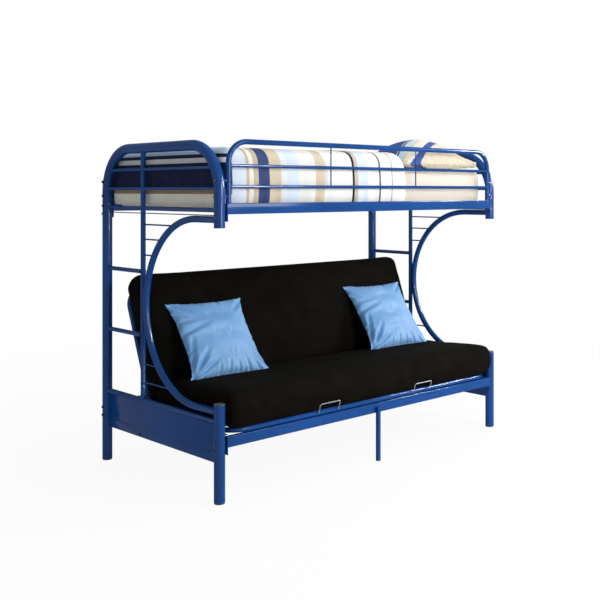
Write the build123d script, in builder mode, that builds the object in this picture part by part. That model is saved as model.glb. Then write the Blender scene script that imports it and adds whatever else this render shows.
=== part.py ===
from build123d import *
import os
from math import cos, radians, sin, sqrt, tan

os.makedirs("parts", exist_ok=True)

# Overall size of the steel bed, in millimetres
overall_length = 1981.0
overall_depth = 1066.8
overall_height = 1651.0

# Round stock: outside diameters across its flats' corners, drawn with few sides
tube_sides = 12
hoop_sides = 8
wire_sides = 6
post_d = 50.8
post_wall = 1.6
arch_d = 31.8
tube_d = 25.4
rung_d = 22.0
bar_d = 16.0
guard_bar_d = 16.0
rod_d = 8.0
guard_rod_d = 7.0
wire_d = 5.0

# Clearances
weld_gap = 0.3
soft_gap = 0.5
pin_clearance = 0.05
plate_gap = 1.0
futon_side_clearance = 5.7
cushion_side_clearance = 3.7
bedding_end_clearance = 14.7
bedding_side_clearance = 26.0

# The seat cushion hangs out in front and the rear centre leg stands out behind,
# and the origin lies under the middle of them all, so the posts are shifted by half
cushion_overhang = 47.0
centre_leg_w = 19.0
bed_y = (cushion_overhang - centre_leg_w - weld_gap) / 2
post_x = (overall_length - post_d) / 2
half_depth = (overall_depth - post_d) / 2
front_y = bed_y - half_depth
rear_y = bed_y + half_depth
post_inner_x = post_x - post_d / 2

# Heights: the lower bunk is set out from its rail, the upper one from the top
lower_rail_top = 300.0
upper_rail_drop = 296.0
upper_rail_top = overall_height - upper_rail_drop
loop_top_z = overall_height - post_d / 2
front_leg_rise = 146.0
front_leg_top = lower_rail_top + front_leg_rise
front_stub_drop = 408.0
front_stub_bottom = overall_height - front_stub_drop
glide_flange = 5.0
loop_corner_r = 220.0

# End frames
end_bar_drop = 132.0
end_bar_pitch = 96.0
end_bar_levels = [overall_height - end_bar_drop - step * end_bar_pitch for step in range(3)]
ladder_width = 359.3
ladder_y = rear_y - ladder_width
arch_lap = 37.5
arch_centre_z = (front_leg_top + front_stub_bottom) / 2
arch_r = (front_stub_bottom - front_leg_top) / 2 + arch_lap
arch_centre_y = ladder_y - tube_d / 2 - weld_gap - arch_d / 2 - arch_r
arch_rod_shares = (0.916, 0.747, 0.566, -0.682, -0.889)
panel_rise = 77.5
panel_h = 199.5
panel_top = lower_rail_top + panel_rise
panel_bottom = panel_top - panel_h
rung_shares = (0.32, 0.645)
rung_levels = [panel_top + share * (upper_rail_top - panel_top) for share in rung_shares]

# Rails
rail_h = 50.0
rail_t = 25.4
rail_wall = 1.5
rail_plate_t = 4.0
rail_plate_w = 40.0
rail_plate_drop = 33.0
rail_end_x = post_inner_x - weld_gap
front_rail_y = front_y - post_d / 2 + rail_t / 2
rear_rail_y = rear_y + post_d / 2 - rail_t / 2

# Guard rails
guard_corner_r = 100.0
guard_leg_inset = 40.0
guard_bar_rise = 76.0
guard_bar_pitch = 96.0
guard_bar_levels = (upper_rail_top + guard_bar_rise, upper_rail_top + guard_bar_rise + guard_bar_pitch)
guard_rod_share = 1 / 3
guard_x = post_x - guard_leg_inset
guard_top_z = overall_height - tube_d / 2

# Futon frame: a seat and a back that meet at one hinge line
recline_angle = 23.2
seat_length = 675.0
back_length = 630.0
hinge_plate_t = 5.0
hinge_to_frame = 45.0
seat_half_width = post_inner_x - futon_side_clearance - tube_d / 2
back_half_width = seat_half_width - hinge_plate_t - plate_gap
frame_corner_r = 100.0
hinge_corner_r = 40.0
glide_t = 2.4
seat_centre_z = lower_rail_top + weld_gap + glide_t + weld_gap + tube_d / 2
pivot_y = front_rail_y + seat_length
pivot_z = seat_centre_z

# Futon mattress
futon_thickness = 165.0
futon_half_length = post_inner_x - cushion_side_clearance
futon_front_lap = 14.0
futon_top_lap = 5.0
fold_sink = 35.0
seat_crown = 4.0
back_crown = 14.0

# Upper bedding
mattress_half_length = post_inner_x - bedding_end_clearance
mattress_half_width = half_depth - bedding_side_clearance
mattress_rise = 183.0
mattress_top = upper_rail_top + mattress_rise
comforter_t = 12.0
comforter_rise = 76.0
comforter_shoulder = 70.0
comforter_end_drop = 60.0
comforter_end_pinch = 8.0
comforter_end_share = 0.283
comforter_fold_share = -0.146
comforter_end_x = mattress_half_length * comforter_end_share
comforter_fold_x = mattress_half_length * comforter_fold_share


def finish(part, name):
    """Label a finished piece and write it to its own file."""
    part.label = name
    export_step(part, f"parts/{name}.step")


def bent_tube(points, bend_r, diameter, sides=tube_sides, closed=False):
    """A round member along straight runs that are joined by bends."""
    first, second = Vector(*points[0]), Vector(*points[1])
    start = (first + second) / 2 if closed else first
    with BuildPart() as tube:
        with BuildLine() as centre_line:
            if closed:
                FilletPolyline(start, *points[1:], first, radius=(0, *bend_r[1:], bend_r[0]), close=True)
            else:
                FilletPolyline(*points, radius=bend_r)
        with BuildSketch(Plane(origin=start, z_dir=second - first)):
            RegularPolygon(diameter / 2, sides)
        sweep(path=centre_line.wires()[0])
    return tube.part


def straight_rod(start, end, diameter, sides=tube_sides, mode=Mode.ADD):
    """A round member between two points, added to or cut from the piece being built."""
    run = Vector(*end) - Vector(*start)
    with BuildSketch(Plane(origin=start, z_dir=run)) as profile:
        RegularPolygon(diameter / 2, sides)
    extrude(profile.sketch, amount=run.length, mode=mode)


def cope(start, end, diameter):
    """Cut the saddle that lets the piece being built seat on a round member."""
    straight_rod(start, end, diameter + 2 * weld_gap, mode=Mode.SUBTRACT)


plug_h = 18.0
plug_d = post_d - 2 * post_wall - 2 * weld_gap
bore_depth = 30.0


def bore_end(x, y, z, depth):
    """Open the end of a post, upwards or downwards from one height."""
    straight_rod((x, y, z), (x, y, z + depth), post_d - 2 * post_wall, mode=Mode.SUBTRACT)


# End frames: one loop of large tube over each end of the bed
for side, x in (("left", -post_x), ("right", post_x)):
    loop_points = (
        (x, rear_y, glide_flange),
        (x, rear_y, loop_top_z),
        (x, front_y, loop_top_z),
        (x, front_y, front_stub_bottom),
    )
    with BuildPart() as end_loop:
        add(bent_tube(loop_points, loop_corner_r, post_d))
        bore_end(x, rear_y, glide_flange, bore_depth)
        bore_end(x, front_y, front_stub_bottom, bore_depth)
    finish(end_loop.part, f"{side}_end_loop")

    with BuildPart() as front_leg:
        straight_rod((x, front_y, glide_flange), (x, front_y, front_leg_top), post_d)
        bore_end(x, front_y, glide_flange, bore_depth)
        bore_end(x, front_y, front_leg_top, -bore_depth)
    finish(front_leg.part, f"{side}_front_leg")

    # The arch: a half circle between the front leg and the stub above it
    arch_low = arch_centre_z - arch_r
    arch_high = arch_centre_z + arch_r
    with BuildPart() as arch:
        with BuildLine() as arch_line:
            upper = Line((x, front_y, arch_high), (x, arch_centre_y, arch_high))
            arch_far = (x, arch_centre_y + arch_r, arch_centre_z)
            ThreePointArc(upper @ 1, arch_far, (x, arch_centre_y, arch_low))
            Line((x, arch_centre_y, arch_low), (x, front_y, arch_low))
        with BuildSketch(Plane(origin=upper @ 0, z_dir=upper % 0)):
            RegularPolygon(arch_d / 2, tube_sides)
        sweep(path=arch_line.wires()[0])
        cope((x, front_y, front_stub_bottom), (x, front_y, arch_high + arch_d), post_d)
        cope((x, front_y, arch_low - arch_d), (x, front_y, front_leg_top), post_d)
    finish(arch.part, f"{side}_arch_tube")

    # The ladder's inner upright stands on the end panel and runs up to the loop
    with BuildPart() as upright:
        straight_rod((x, ladder_y, panel_top - tube_d / 2), (x, ladder_y, loop_top_z), tube_d)
        cope((x, front_y, loop_top_z), (x, rear_y, loop_top_z), post_d)
        cope((x, front_y, panel_top - tube_d / 2), (x, rear_y, panel_top - tube_d / 2), tube_d)
    finish(upright.part, f"{side}_ladder_upright")

    with BuildPart() as rungs:
        for level in rung_levels:
            straight_rod((x, ladder_y, level), (x, rear_y, level), rung_d)
        cope((x, rear_y, panel_top), (x, rear_y, loop_top_z), post_d)
        cope((x, ladder_y, panel_top), (x, ladder_y, loop_top_z), tube_d)
    finish(rungs.part, f"{side}_ladder_rungs")

    with BuildPart() as bars:
        for level in end_bar_levels:
            straight_rod((x, front_y, level), (x, rear_y, level), bar_d)
        add(bent_tube(loop_points, loop_corner_r, post_d + 2 * weld_gap), mode=Mode.SUBTRACT)
        cope((x, ladder_y, panel_top), (x, ladder_y, loop_top_z), tube_d)
    finish(bars.part, f"{side}_end_bars")

    # Thin rods fill the wedge between the arch and the ladder
    with BuildPart() as arch_rods:
        for share in arch_rod_shares:
            level = arch_centre_z + share * arch_r
            arch_y = arch_centre_y + arch_r * sqrt(1 - share**2)
            straight_rod((x, ladder_y, level), (x, arch_y, level), rod_d, wire_sides)
        cope((x, ladder_y, panel_top), (x, ladder_y, loop_top_z), tube_d)
        with BuildLine() as arch_cut_line:
            cut_arc = ThreePointArc(
                (x, arch_centre_y, arch_high),
                (x, arch_centre_y + arch_r, arch_centre_z),
                (x, arch_centre_y, arch_low),
            )
        with BuildSketch(Plane(origin=cut_arc @ 0, z_dir=cut_arc % 0)):
            RegularPolygon(arch_d / 2 + weld_gap, tube_sides)
        sweep(path=arch_cut_line.wires()[0], mode=Mode.SUBTRACT)
    finish(arch_rods.part, f"{side}_arch_rods")

# End panels: a top tube and a pressed sheet with a stepped and hemmed lower edge
sheet_t = 2.0
panel_step = 4.0
panel_strip_h = 40.0
panel_hem = 12.0
panel_tube_z = panel_top - tube_d / 2
for side, outward in (("left", -1), ("right", 1)):
    x = outward * post_x
    with BuildPart() as panel_tube:
        straight_rod((x, front_y, panel_tube_z), (x, rear_y, panel_tube_z), tube_d)
        cope((x, rear_y, panel_bottom), (x, rear_y, panel_top + tube_d), post_d)
        cope((x, front_y, panel_bottom), (x, front_y, panel_top + tube_d), post_d)
    finish(panel_tube.part, f"{side}_panel_tube")

    sheet_top = panel_tube_z - tube_d / 2 - weld_gap
    step_x = x + outward * panel_step
    with BuildPart() as panel:
        with BuildSketch(Plane(origin=(0, rear_y, 0), x_dir=(1, 0, 0), z_dir=(0, -1, 0))):
            with BuildLine():
                Polyline(
                    (x, sheet_top),
                    (x, panel_bottom + panel_strip_h + panel_step),
                    (step_x, panel_bottom + panel_strip_h),
                    (step_x, panel_bottom + sheet_t / 2),
                    (step_x - outward * panel_hem, panel_bottom + sheet_t / 2),
                )
            trace(line_width=sheet_t)
        extrude(amount=rear_y - front_y)
        cope((x, rear_y, 0), (x, rear_y, panel_top), post_d)
        cope((x, front_y, 0), (x, front_y, panel_top), post_d)
    finish(panel.part, f"{side}_end_panel")

# Moulded caps and glides that close the tube ends
cap_t = 4.0
with BuildPart() as leg_caps:
    for x in (-post_x, post_x):
        straight_rod((x, front_y, front_leg_top), (x, front_y, front_leg_top + cap_t), post_d)
        straight_rod((x, front_y, front_leg_top), (x, front_y, front_leg_top - plug_h), plug_d)
finish(leg_caps.part, "leg_caps")

with BuildPart() as foot_glides:
    for x in (-post_x, post_x):
        for y in (front_y, rear_y):
            straight_rod((x, y, 0), (x, y, glide_flange), post_d)
            straight_rod((x, y, glide_flange), (x, y, glide_flange + plug_h), plug_d)
finish(foot_glides.part, "foot_glides")


def side_rail(top, rail_y, front):
    """A rectangular tube between two posts, with a drop plate welded on each end."""
    inward = 1 if front else -1
    plate_h = rail_h + rail_plate_drop
    plate_y = rail_y + inward * (rail_plate_w - rail_t) / 2
    with BuildPart() as rail:
        rail_start = (-rail_end_x, rail_y, top - rail_h / 2)
        with BuildSketch(Plane(origin=rail_start, x_dir=(0, 1, 0), z_dir=(1, 0, 0))):
            Rectangle(rail_t, rail_h)
            Rectangle(rail_t - 2 * rail_wall, rail_h - 2 * rail_wall, mode=Mode.SUBTRACT)
        extrude(amount=2 * rail_end_x)
        for end in (-1, 1):
            with Locations((end * (rail_end_x - rail_plate_t / 2), plate_y, top - plate_h / 2)):
                Box(rail_plate_t, rail_plate_w, plate_h)
    return rail.part


for name, top in (("lower", lower_rail_top), ("upper", upper_rail_top)):
    for place, rail_y in (("front", front_rail_y), ("rear", rear_rail_y)):
        with BuildPart() as rail:
            add(side_rail(top, rail_y, place == "front"))
        finish(rail.part, f"{place}_{name}_rail")

# Centre legs under the two lower rails
centre_leg_wall = 1.2
leg_lap = 30.0
centre_leg_bore = centre_leg_w - 2 * centre_leg_wall
leg_offset = rail_t / 2 + weld_gap + centre_leg_w / 2
for place, rail_y, outward in (("front", front_rail_y, -1), ("rear", rear_rail_y, 1)):
    leg_y = rail_y + outward * leg_offset
    with BuildPart() as centre_leg:
        with BuildSketch(Plane((0, leg_y, glide_flange))):
            Rectangle(centre_leg_w, centre_leg_w)
            Rectangle(centre_leg_bore, centre_leg_bore, mode=Mode.SUBTRACT)
        extrude(amount=lower_rail_top - rail_h + leg_lap - glide_flange)
    finish(centre_leg.part, f"{place}_centre_leg")

leg_ys = (front_rail_y - leg_offset, rear_rail_y + leg_offset)
leg_plug_w = centre_leg_bore - 2 * weld_gap
with BuildPart() as centre_leg_glides:
    for leg_y in leg_ys:
        with BuildSketch(Plane((0, leg_y, 0))):
            Rectangle(centre_leg_w, centre_leg_w)
        extrude(amount=glide_flange)
        with BuildSketch(Plane((0, leg_y, glide_flange))):
            Rectangle(leg_plug_w, leg_plug_w)
        extrude(amount=plug_h)
finish(centre_leg_glides.part, "centre_leg_glides")

# Guard rails: a hoop welded on each upper rail, with bars and thin rods inside it
guard_foot_z = upper_rail_top + weld_gap
for place, rail_y in (("front", front_rail_y), ("rear", rear_rail_y)):
    hoop_points = (
        (-guard_x, rail_y, guard_foot_z),
        (-guard_x, rail_y, guard_top_z),
        (guard_x, rail_y, guard_top_z),
        (guard_x, rail_y, guard_foot_z),
    )
    with BuildPart() as hoop:
        add(bent_tube(hoop_points, guard_corner_r, tube_d, hoop_sides))
    finish(hoop.part, f"{place}_guard_rail")

    with BuildPart() as guard_bars:
        for level in guard_bar_levels:
            straight_rod((-guard_x, rail_y, level), (guard_x, rail_y, level), guard_bar_d)
        for x in (-guard_x, guard_x):
            cope((x, rail_y, guard_foot_z), (x, rail_y, guard_top_z), tube_d)
    finish(guard_bars.part, f"{place}_guard_bars")

    low_bar, high_bar = guard_bar_levels
    with BuildPart() as guard_rods:
        for x in (-guard_x * guard_rod_share, guard_x * guard_rod_share):
            straight_rod((x, rail_y, low_bar), (x, rail_y, guard_top_z), guard_rod_d, wire_sides)
        for level, diameter in ((low_bar, guard_bar_d), (high_bar, guard_bar_d), (guard_top_z, tube_d)):
            cope((-guard_x / 2, rail_y, level), (guard_x / 2, rail_y, level), diameter)
    finish(guard_rods.part, f"{place}_guard_rods")

# Spacers hold the guard hoops off the posts, with the guard bolts through them
spacer_d = 14.0
spacer_rise = 30.0
spacer_pitch = 73.0
spacer_levels = (upper_rail_top + spacer_rise, upper_rail_top + spacer_rise + spacer_pitch)
with BuildPart() as spacers:
    for rail_y, post_y in ((front_rail_y, front_y), (rear_rail_y, rear_y)):
        for level in spacer_levels:
            for end in (-1, 1):
                hoop_side, post_side = (end * guard_x, rail_y, level), (end * post_x, rail_y, level)
                straight_rod(hoop_side, post_side, spacer_d, wire_sides)
        for end in (-1, 1):
            cope((end * post_x, post_y, guard_foot_z), (end * post_x, post_y, guard_top_z), post_d)
            cope((end * guard_x, rail_y, guard_foot_z), (end * guard_x, rail_y, guard_top_z), tube_d)
finish(spacers.part, "guard_spacers")

# Bolts: round heads seated on the outer side of each post
bolt_head_d = 13.0
bolt_head_h = 6.0
rail_bolt_drop = 22.0
rail_bolt_pitch = 41.0


def bolt_heads(levels, post_ys):
    """Domed heads on the outer faces of the posts, one row for each post."""
    with BuildPart() as heads:
        for end in (-1, 1):
            for post_y in post_ys:
                for level in levels:
                    near = (end * (post_x + post_d / 2 + weld_gap), post_y, level)
                    far = (end * (post_x + post_d / 2 + weld_gap + bolt_head_h), post_y, level)
                    straight_rod(near, far, bolt_head_d, wire_sides)
    return heads.part


with BuildPart() as lower_bolts:
    rail_bolt_z = lower_rail_top - rail_bolt_drop
    add(bolt_heads((rail_bolt_z, rail_bolt_z - rail_bolt_pitch), (front_y, rear_y)))
finish(lower_bolts.part, "lower_rail_bolts")
with BuildPart() as upper_bolts:
    rail_bolt_z = upper_rail_top - rail_bolt_drop
    add(bolt_heads((rail_bolt_z, rail_bolt_z - rail_bolt_pitch, *spacer_levels), (front_y, rear_y)))
finish(upper_bolts.part, "upper_rail_bolts")

# Bolts through each end panel, opposite the ladder upright
panel_bolt_z = panel_bottom + panel_hem
panel_bolt_y = ladder_y + tube_d
with BuildPart() as panel_bolts:
    for end in (-1, 1):
        seat_face = end * (post_x + panel_step + sheet_t / 2 + weld_gap)
        straight_rod(
            (seat_face, panel_bolt_y, panel_bolt_z),
            (seat_face + end * bolt_head_h, panel_bolt_y, panel_bolt_z),
            bolt_head_d,
            wire_sides,
        )
finish(panel_bolts.part, "panel_bolts")

# Upper deck: flat cross tubes between the rails, a welded mesh, and end rods
deck_tube_w = 20.0
deck_tube_h = 14.0
deck_tube_count = 5
deck_tube_share = 0.84
deck_tube_x = mattress_half_length * deck_tube_share
deck_tube_drop = 49.0
deck_tube_bottom = upper_rail_top - deck_tube_drop
deck_half_width = rear_rail_y - rail_t / 2 - bed_y - weld_gap
with BuildPart() as deck_tubes:
    with GridLocations(2 * deck_tube_x / (deck_tube_count - 1), 1, deck_tube_count, 1):
        with Locations((0, bed_y, deck_tube_bottom + deck_tube_h / 2)):
            Box(deck_tube_w, 2 * deck_half_width, deck_tube_h)
finish(deck_tubes.part, "upper_deck_tubes")

end_rod_drop = 55.0
end_rod_z = upper_rail_top - end_rod_drop
with BuildPart() as end_rods:
    for x in (-post_x, post_x):
        straight_rod((x, front_y, end_rod_z), (x, rear_y, end_rod_z), wire_d, wire_sides)
        for y in (front_y, rear_y):
            cope((x, y, front_stub_bottom), (x, y, upper_rail_top), post_d)
        cope((x, ladder_y, panel_top), (x, ladder_y, loop_top_z), tube_d)
finish(end_rods.part, "deck_end_rods")


def spread(low, high, count):
    """Evenly spaced places from low to high."""
    return [low + (high - low) * step / (count - 1) for step in range(count)]


def wire_mesh(deck, half_width, start, end, across_places, along_places, level):
    """Two layers of wires, in a deck's own axes: X across the bed, Y along the deck."""
    with BuildPart() as mesh:
        low = deck.from_local_coords((-half_width, 0, 0))
        with BuildSketch(Plane(origin=low, x_dir=deck.y_dir, z_dir=deck.x_dir)):
            with Locations(*[(y, level) for y in along_places]):
                RegularPolygon(wire_d / 2, wire_sides)
        extrude(amount=2 * half_width)
        near = deck.from_local_coords((0, start, 0))
        with BuildSketch(Plane(origin=near, x_dir=deck.x_dir, z_dir=deck.y_dir)):
            with Locations(*[(x, -level - wire_d - weld_gap) for x in across_places]):
                RegularPolygon(wire_d / 2, wire_sides)
        extrude(amount=end - start)
    return mesh.part


upper_deck = Plane((0, bed_y, deck_tube_bottom + deck_tube_h))
upper_mesh_level = weld_gap + wire_d / 2
upper_mesh_clearance = 20.0
upper_mesh_x = mattress_half_length - upper_mesh_clearance
upper_mesh_margin = 8.0
upper_mesh_y = deck_half_width - upper_mesh_margin
with BuildPart() as upper_mesh:
    mesh_xs = spread(upper_mesh_margin - upper_mesh_x, upper_mesh_x - upper_mesh_margin, 14)
    mesh_ys = spread(upper_mesh_margin - upper_mesh_y, upper_mesh_y - upper_mesh_margin, 8)
    mesh_size = (upper_mesh_x, -upper_mesh_y, upper_mesh_y)
    add(wire_mesh(upper_deck, *mesh_size, mesh_xs, mesh_ys, upper_mesh_level))
finish(upper_mesh.part, "upper_deck_mesh")

# Tracks: angle irons on the end panels that carry the sliding seat
track_t = 3.0
track_ledge = 42.0
track_drop = 115.0
track_x = post_x - tube_d / 2 - weld_gap
track_half = half_depth - rail_plate_w + rail_t - weld_gap
for side, outward in (("left", -1), ("right", 1)):
    outer = outward * track_x
    with BuildPart() as track:
        track_start = (0, bed_y + track_half, lower_rail_top)
        with BuildSketch(Plane(origin=track_start, x_dir=(1, 0, 0), z_dir=(0, -1, 0))):
            with BuildLine():
                Polyline(
                    (outer, 0),
                    (outer - outward * track_ledge, 0),
                    (outer - outward * track_ledge, -track_t),
                    (outer - outward * track_t, -track_t),
                    (outer - outward * track_t, -track_drop),
                    (outer, -track_drop),
                    close=True,
                )
            make_face()
        extrude(amount=2 * track_half)
        for y in (front_y, rear_y):
            cope((outward * post_x, y, 0), (outward * post_x, y, front_leg_top), post_d)
    finish(track.part, f"{side}_futon_track")

# Seat and back share these axes: X across the bed, Y away from the hinge, Z up out of the deck
lean = radians(recline_angle)
seat_deck = Plane(origin=(0, pivot_y, pivot_z), x_dir=(-1, 0, 0), z_dir=(0, 0, 1))
back_deck = Plane(origin=(0, pivot_y, pivot_z), x_dir=(1, 0, 0), z_dir=(0, -cos(lean), sin(lean)))


def futon_loop(deck, half_width, length):
    """The closed loop of tube round one half of the futon frame."""
    right, left = half_width, -half_width
    corners = ((right, length), (right, hinge_to_frame), (left, hinge_to_frame), (left, length))
    points = [tuple(deck.from_local_coords((*corner, 0))) for corner in corners]
    bends = (frame_corner_r, hinge_corner_r, hinge_corner_r, frame_corner_r)
    return bent_tube(points, bends, tube_d, hoop_sides, closed=True)


cross_rod_d = 12.0
cross_rod_share = 1 / 3


def cross_rods(deck, half_width, length):
    """Two stiffening rods between the loop's long tubes."""
    drop = -cross_rod_d / 2 - weld_gap
    with BuildPart() as rods:
        for x in (-half_width * cross_rod_share, half_width * cross_rod_share):
            near = deck.from_local_coords((x, hinge_to_frame, drop))
            far = deck.from_local_coords((x, length, drop))
            straight_rod(near, far, cross_rod_d)
        for y in (hinge_to_frame, length):
            left = deck.from_local_coords((-half_width / 2, y, 0))
            right = deck.from_local_coords((half_width / 2, y, 0))
            cope(left, right, tube_d)
    return rods.part


mesh_level = 3.0
mesh_hinge_inset = 80.0


def futon_mesh(deck, half_width, length):
    """The wire mesh inside a loop, its wires ending on the tubes and clear of their bends."""
    inside = tube_d / 2 + weld_gap
    start = hinge_to_frame + inside
    end = length - inside
    across = spread(frame_corner_r - half_width, half_width - frame_corner_r, 13)
    along = spread(hinge_to_frame + mesh_hinge_inset, length - frame_corner_r, 6)
    return wire_mesh(deck, half_width - inside, start, end, across, along, mesh_level)


hinge_arm = 95.0
hinge_r = 18.0
hinge_drop = 6.0
pin_r = 5.0
pin_head_r = 9.0
pin_head_t = 3.0


notch_lap = 9.0
notch_start = hinge_to_frame - notch_lap
notch_end = hinge_to_frame + hinge_corner_r - 2 * weld_gap


def hinge_plates(deck, half_width):
    """A pair of straps welded inside the loop's sides, notched for its bend and bored for the pin."""
    inner = half_width - tube_d / 2 - weld_gap
    with BuildPart() as plates:
        for low in (-inner, inner - hinge_plate_t):
            origin = deck.from_local_coords((low, 0, 0))
            with BuildSketch(Plane(origin=origin, x_dir=deck.y_dir, z_dir=deck.x_dir)):
                with Locations((hinge_arm / 2, -hinge_drop)):
                    strap = Rectangle(hinge_arm + 2 * hinge_r, 2 * hinge_r)
                chamfer(strap.vertices(), hinge_r / 2)
                with Locations(((notch_start + notch_end) / 2, 0)):
                    Rectangle(notch_end - notch_start, tube_d + 2 * weld_gap, mode=Mode.SUBTRACT)
                Circle(pin_r + pin_clearance, mode=Mode.SUBTRACT)
            extrude(amount=hinge_plate_t)
    return plates.part


for body, deck, half_width, length in (
    ("seat", seat_deck, seat_half_width, seat_length),
    ("back", back_deck, back_half_width, back_length),
):
    with BuildPart() as futon_frame:
        add(futon_loop(deck, half_width, length))
    finish(futon_frame.part, f"{body}_frame")
    with BuildPart() as stiffeners:
        add(cross_rods(deck, half_width, length))
    finish(stiffeners.part, f"{body}_cross_rods")
    with BuildPart() as mesh:
        add(futon_mesh(deck, half_width, length))
    finish(mesh.part, f"{body}_mesh")
    with BuildPart() as plates:
        add(hinge_plates(deck, half_width))
    finish(plates.part, f"{body}_hinge_plates")

pin_outer = seat_half_width - tube_d / 2
pin_inner = back_half_width - tube_d / 2 - weld_gap - hinge_plate_t - weld_gap
with BuildPart() as pins:
    for end in (-1, 1):
        shaft = ((end * pin_inner, pivot_y, pivot_z), (end * pin_outer, pivot_y, pivot_z))
        with BuildSketch(Plane(origin=shaft[0], z_dir=(end, 0, 0))):
            Circle(pin_r)
        extrude(amount=pin_outer - pin_inner)
        outer_head = (end * (pin_outer + pin_head_t), pivot_y, pivot_z)
        inner_head = (end * (pin_inner - pin_head_t), pivot_y, pivot_z)
        straight_rod(shaft[1], outer_head, 2 * pin_head_r, wire_sides)
        straight_rod(shaft[0], inner_head, 2 * pin_head_r, wire_sides)
finish(pins.part, "hinge_pins")

# Glides under the seat's side tubes
seat_glide_l = 70.0
seat_glide_w = 20.0
seat_glide_shares = (0.25, 0.5, 0.75)
with BuildPart() as seat_glides:
    for share in seat_glide_shares:
        for end in (-1, 1):
            glide_y = pivot_y - seat_length * share
            glide_z = lower_rail_top + weld_gap + glide_t / 2
            with Locations((end * seat_half_width, glide_y, glide_z)):
                Box(seat_glide_w, seat_glide_l, glide_t)
finish(seat_glides.part, "seat_glides")

# Retainers: bent wire hoops that lean out from the seat's front tube and hold the mattress
retainer_d = 6.0
retainer_w = 130.0
retainer_share = 0.367
retainer_x = seat_half_width * retainer_share
retainer_h = 46.0
retainer_out = 15.0
retainer_root = pivot_y - seat_length - tube_d / 2 - weld_gap - retainer_d / 2
retainer_y = retainer_root - retainer_out
with BuildPart() as retainers:
    for x in (-retainer_x, retainer_x):
        low_left = Vector(x - retainer_w / 2, retainer_root, pivot_z)
        with BuildLine() as hoop_line:
            Polyline(
                low_left,
                (x - retainer_w / 2, retainer_y, pivot_z + retainer_h),
                (x + retainer_w / 2, retainer_y, pivot_z + retainer_h),
                (x + retainer_w / 2, retainer_root, pivot_z),
            )
        with BuildSketch(Plane(origin=low_left, z_dir=(0, -retainer_out, retainer_h))):
            RegularPolygon(retainer_d / 2, wire_sides)
        sweep(path=hoop_line.wires()[0], transition=Transition.RIGHT)
finish(retainers.part, "mattress_retainers")

# Futon mattress: two crowned halves that meet on a mitre at the fold
deck_lift = tube_d / 2 + soft_gap
half_fold = radians((90 + recline_angle) / 2)
fold_inset = deck_lift / tan(half_fold)
futon_bulge = cushion_overhang + (post_d - rail_t) / 2 - futon_front_lap - fold_inset
end_pinch = 24.0
end_run = 60.0
# Place in from a cushion's end, as a share of the run, with the share of the pinch there
end_shares = ((0, 1.0), (0.2, 0.45), (0.5, 0.15), (1.0, 0.0))
crease_gap = 0.6


def futon_section(plane, depth, pinch, crown):
    """One slice across a mattress half: flat base, bulging free edge, crowned top, mitred fold."""
    base = deck_lift + pinch / 2
    top = deck_lift + futon_thickness - pinch
    free = depth - pinch
    fold_top = top - fold_sink
    fold_low = base / tan(half_fold) + crease_gap
    fold_high = fold_top / tan(half_fold) + crease_gap
    middle = (base + top) / 2
    rise = (top + fold_top) / 2 + crown
    with BuildSketch(plane) as profile:
        with BuildLine():
            Line((fold_low, base), (free, base))
            ThreePointArc((free, base), (free + futon_bulge, middle), (free, top))
            ThreePointArc((free, top), ((free + fold_high) / 2, rise), (fold_high, fold_top))
            Line((fold_high, fold_top), (fold_low, base))
        make_face()
    return profile.sketch


def cushion_stations(half_length, run):
    """Places along a cushion with the share of end pinch at each, from one end to the other."""
    low_end = [(share * run - half_length, pinch) for share, pinch in end_shares]
    high_end = [(-place, pinch) for place, pinch in reversed(low_end)]
    return [*low_end, (0, 0), *high_end]


def futon_half(deck, depth, full_crown):
    """A mattress half lofted through its slices, thinner and drawn in at both ends."""
    slices = []
    for across, share in cushion_stations(futon_half_length, end_run):
        origin = deck.from_local_coords((across, 0, 0))
        plane = Plane(origin=origin, x_dir=deck.y_dir, z_dir=deck.x_dir)
        slices.append(futon_section(plane, depth, end_pinch * share, full_crown * (1 - share / 2)))
    with BuildPart() as half:
        loft(slices, ruled=True)
    return half.part


dent_w = retainer_w + 3 * retainer_d
dent_deep = 60.0
dent_h = 80.0
dent_y = retainer_root + retainer_d / 2 - dent_deep / 2
dent_z = pivot_z + retainer_h + retainer_d / 2 + 2 * soft_gap - dent_h / 2
with BuildPart() as seat_mattress:
    add(futon_half(seat_deck, seat_length + futon_front_lap + fold_inset, seat_crown))
    with Locations((-retainer_x, dent_y, dent_z), (retainer_x, dent_y, dent_z)):
        Box(dent_w, dent_deep, dent_h, mode=Mode.SUBTRACT)
finish(seat_mattress.part, "futon_seat_mattress")
with BuildPart() as back_mattress:
    add(futon_half(back_deck, back_length + futon_top_lap + fold_inset, back_crown))
finish(back_mattress.part, "futon_back_mattress")


def bedding_section(x, half_width, low, high, bulge, crown):
    """One slice across the upper bedding: flat base, bulging sides and a crowned top."""
    middle = (low + high) / 2
    with BuildSketch(Plane.YZ.offset(x)) as profile:
        with BuildLine():
            Line((bed_y - half_width, low), (bed_y + half_width, low))
            ThreePointArc(
                (bed_y + half_width, low), (bed_y + half_width + bulge, middle), (bed_y + half_width, high)
            )
            ThreePointArc((bed_y + half_width, high), (bed_y, high + crown), (bed_y - half_width, high))
            ThreePointArc(
                (bed_y - half_width, high), (bed_y - half_width - bulge, middle), (bed_y - half_width, low)
            )
        make_face()
    return profile.sketch


# Upper mattress, resting on the mesh
mattress_bottom = deck_tube_bottom + deck_tube_h + 2 * (weld_gap + wire_d) + soft_gap
mattress_pinch = 30.0
mattress_run = 60.0
mattress_bulge = 8.0
mattress_crown = 8.0


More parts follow.
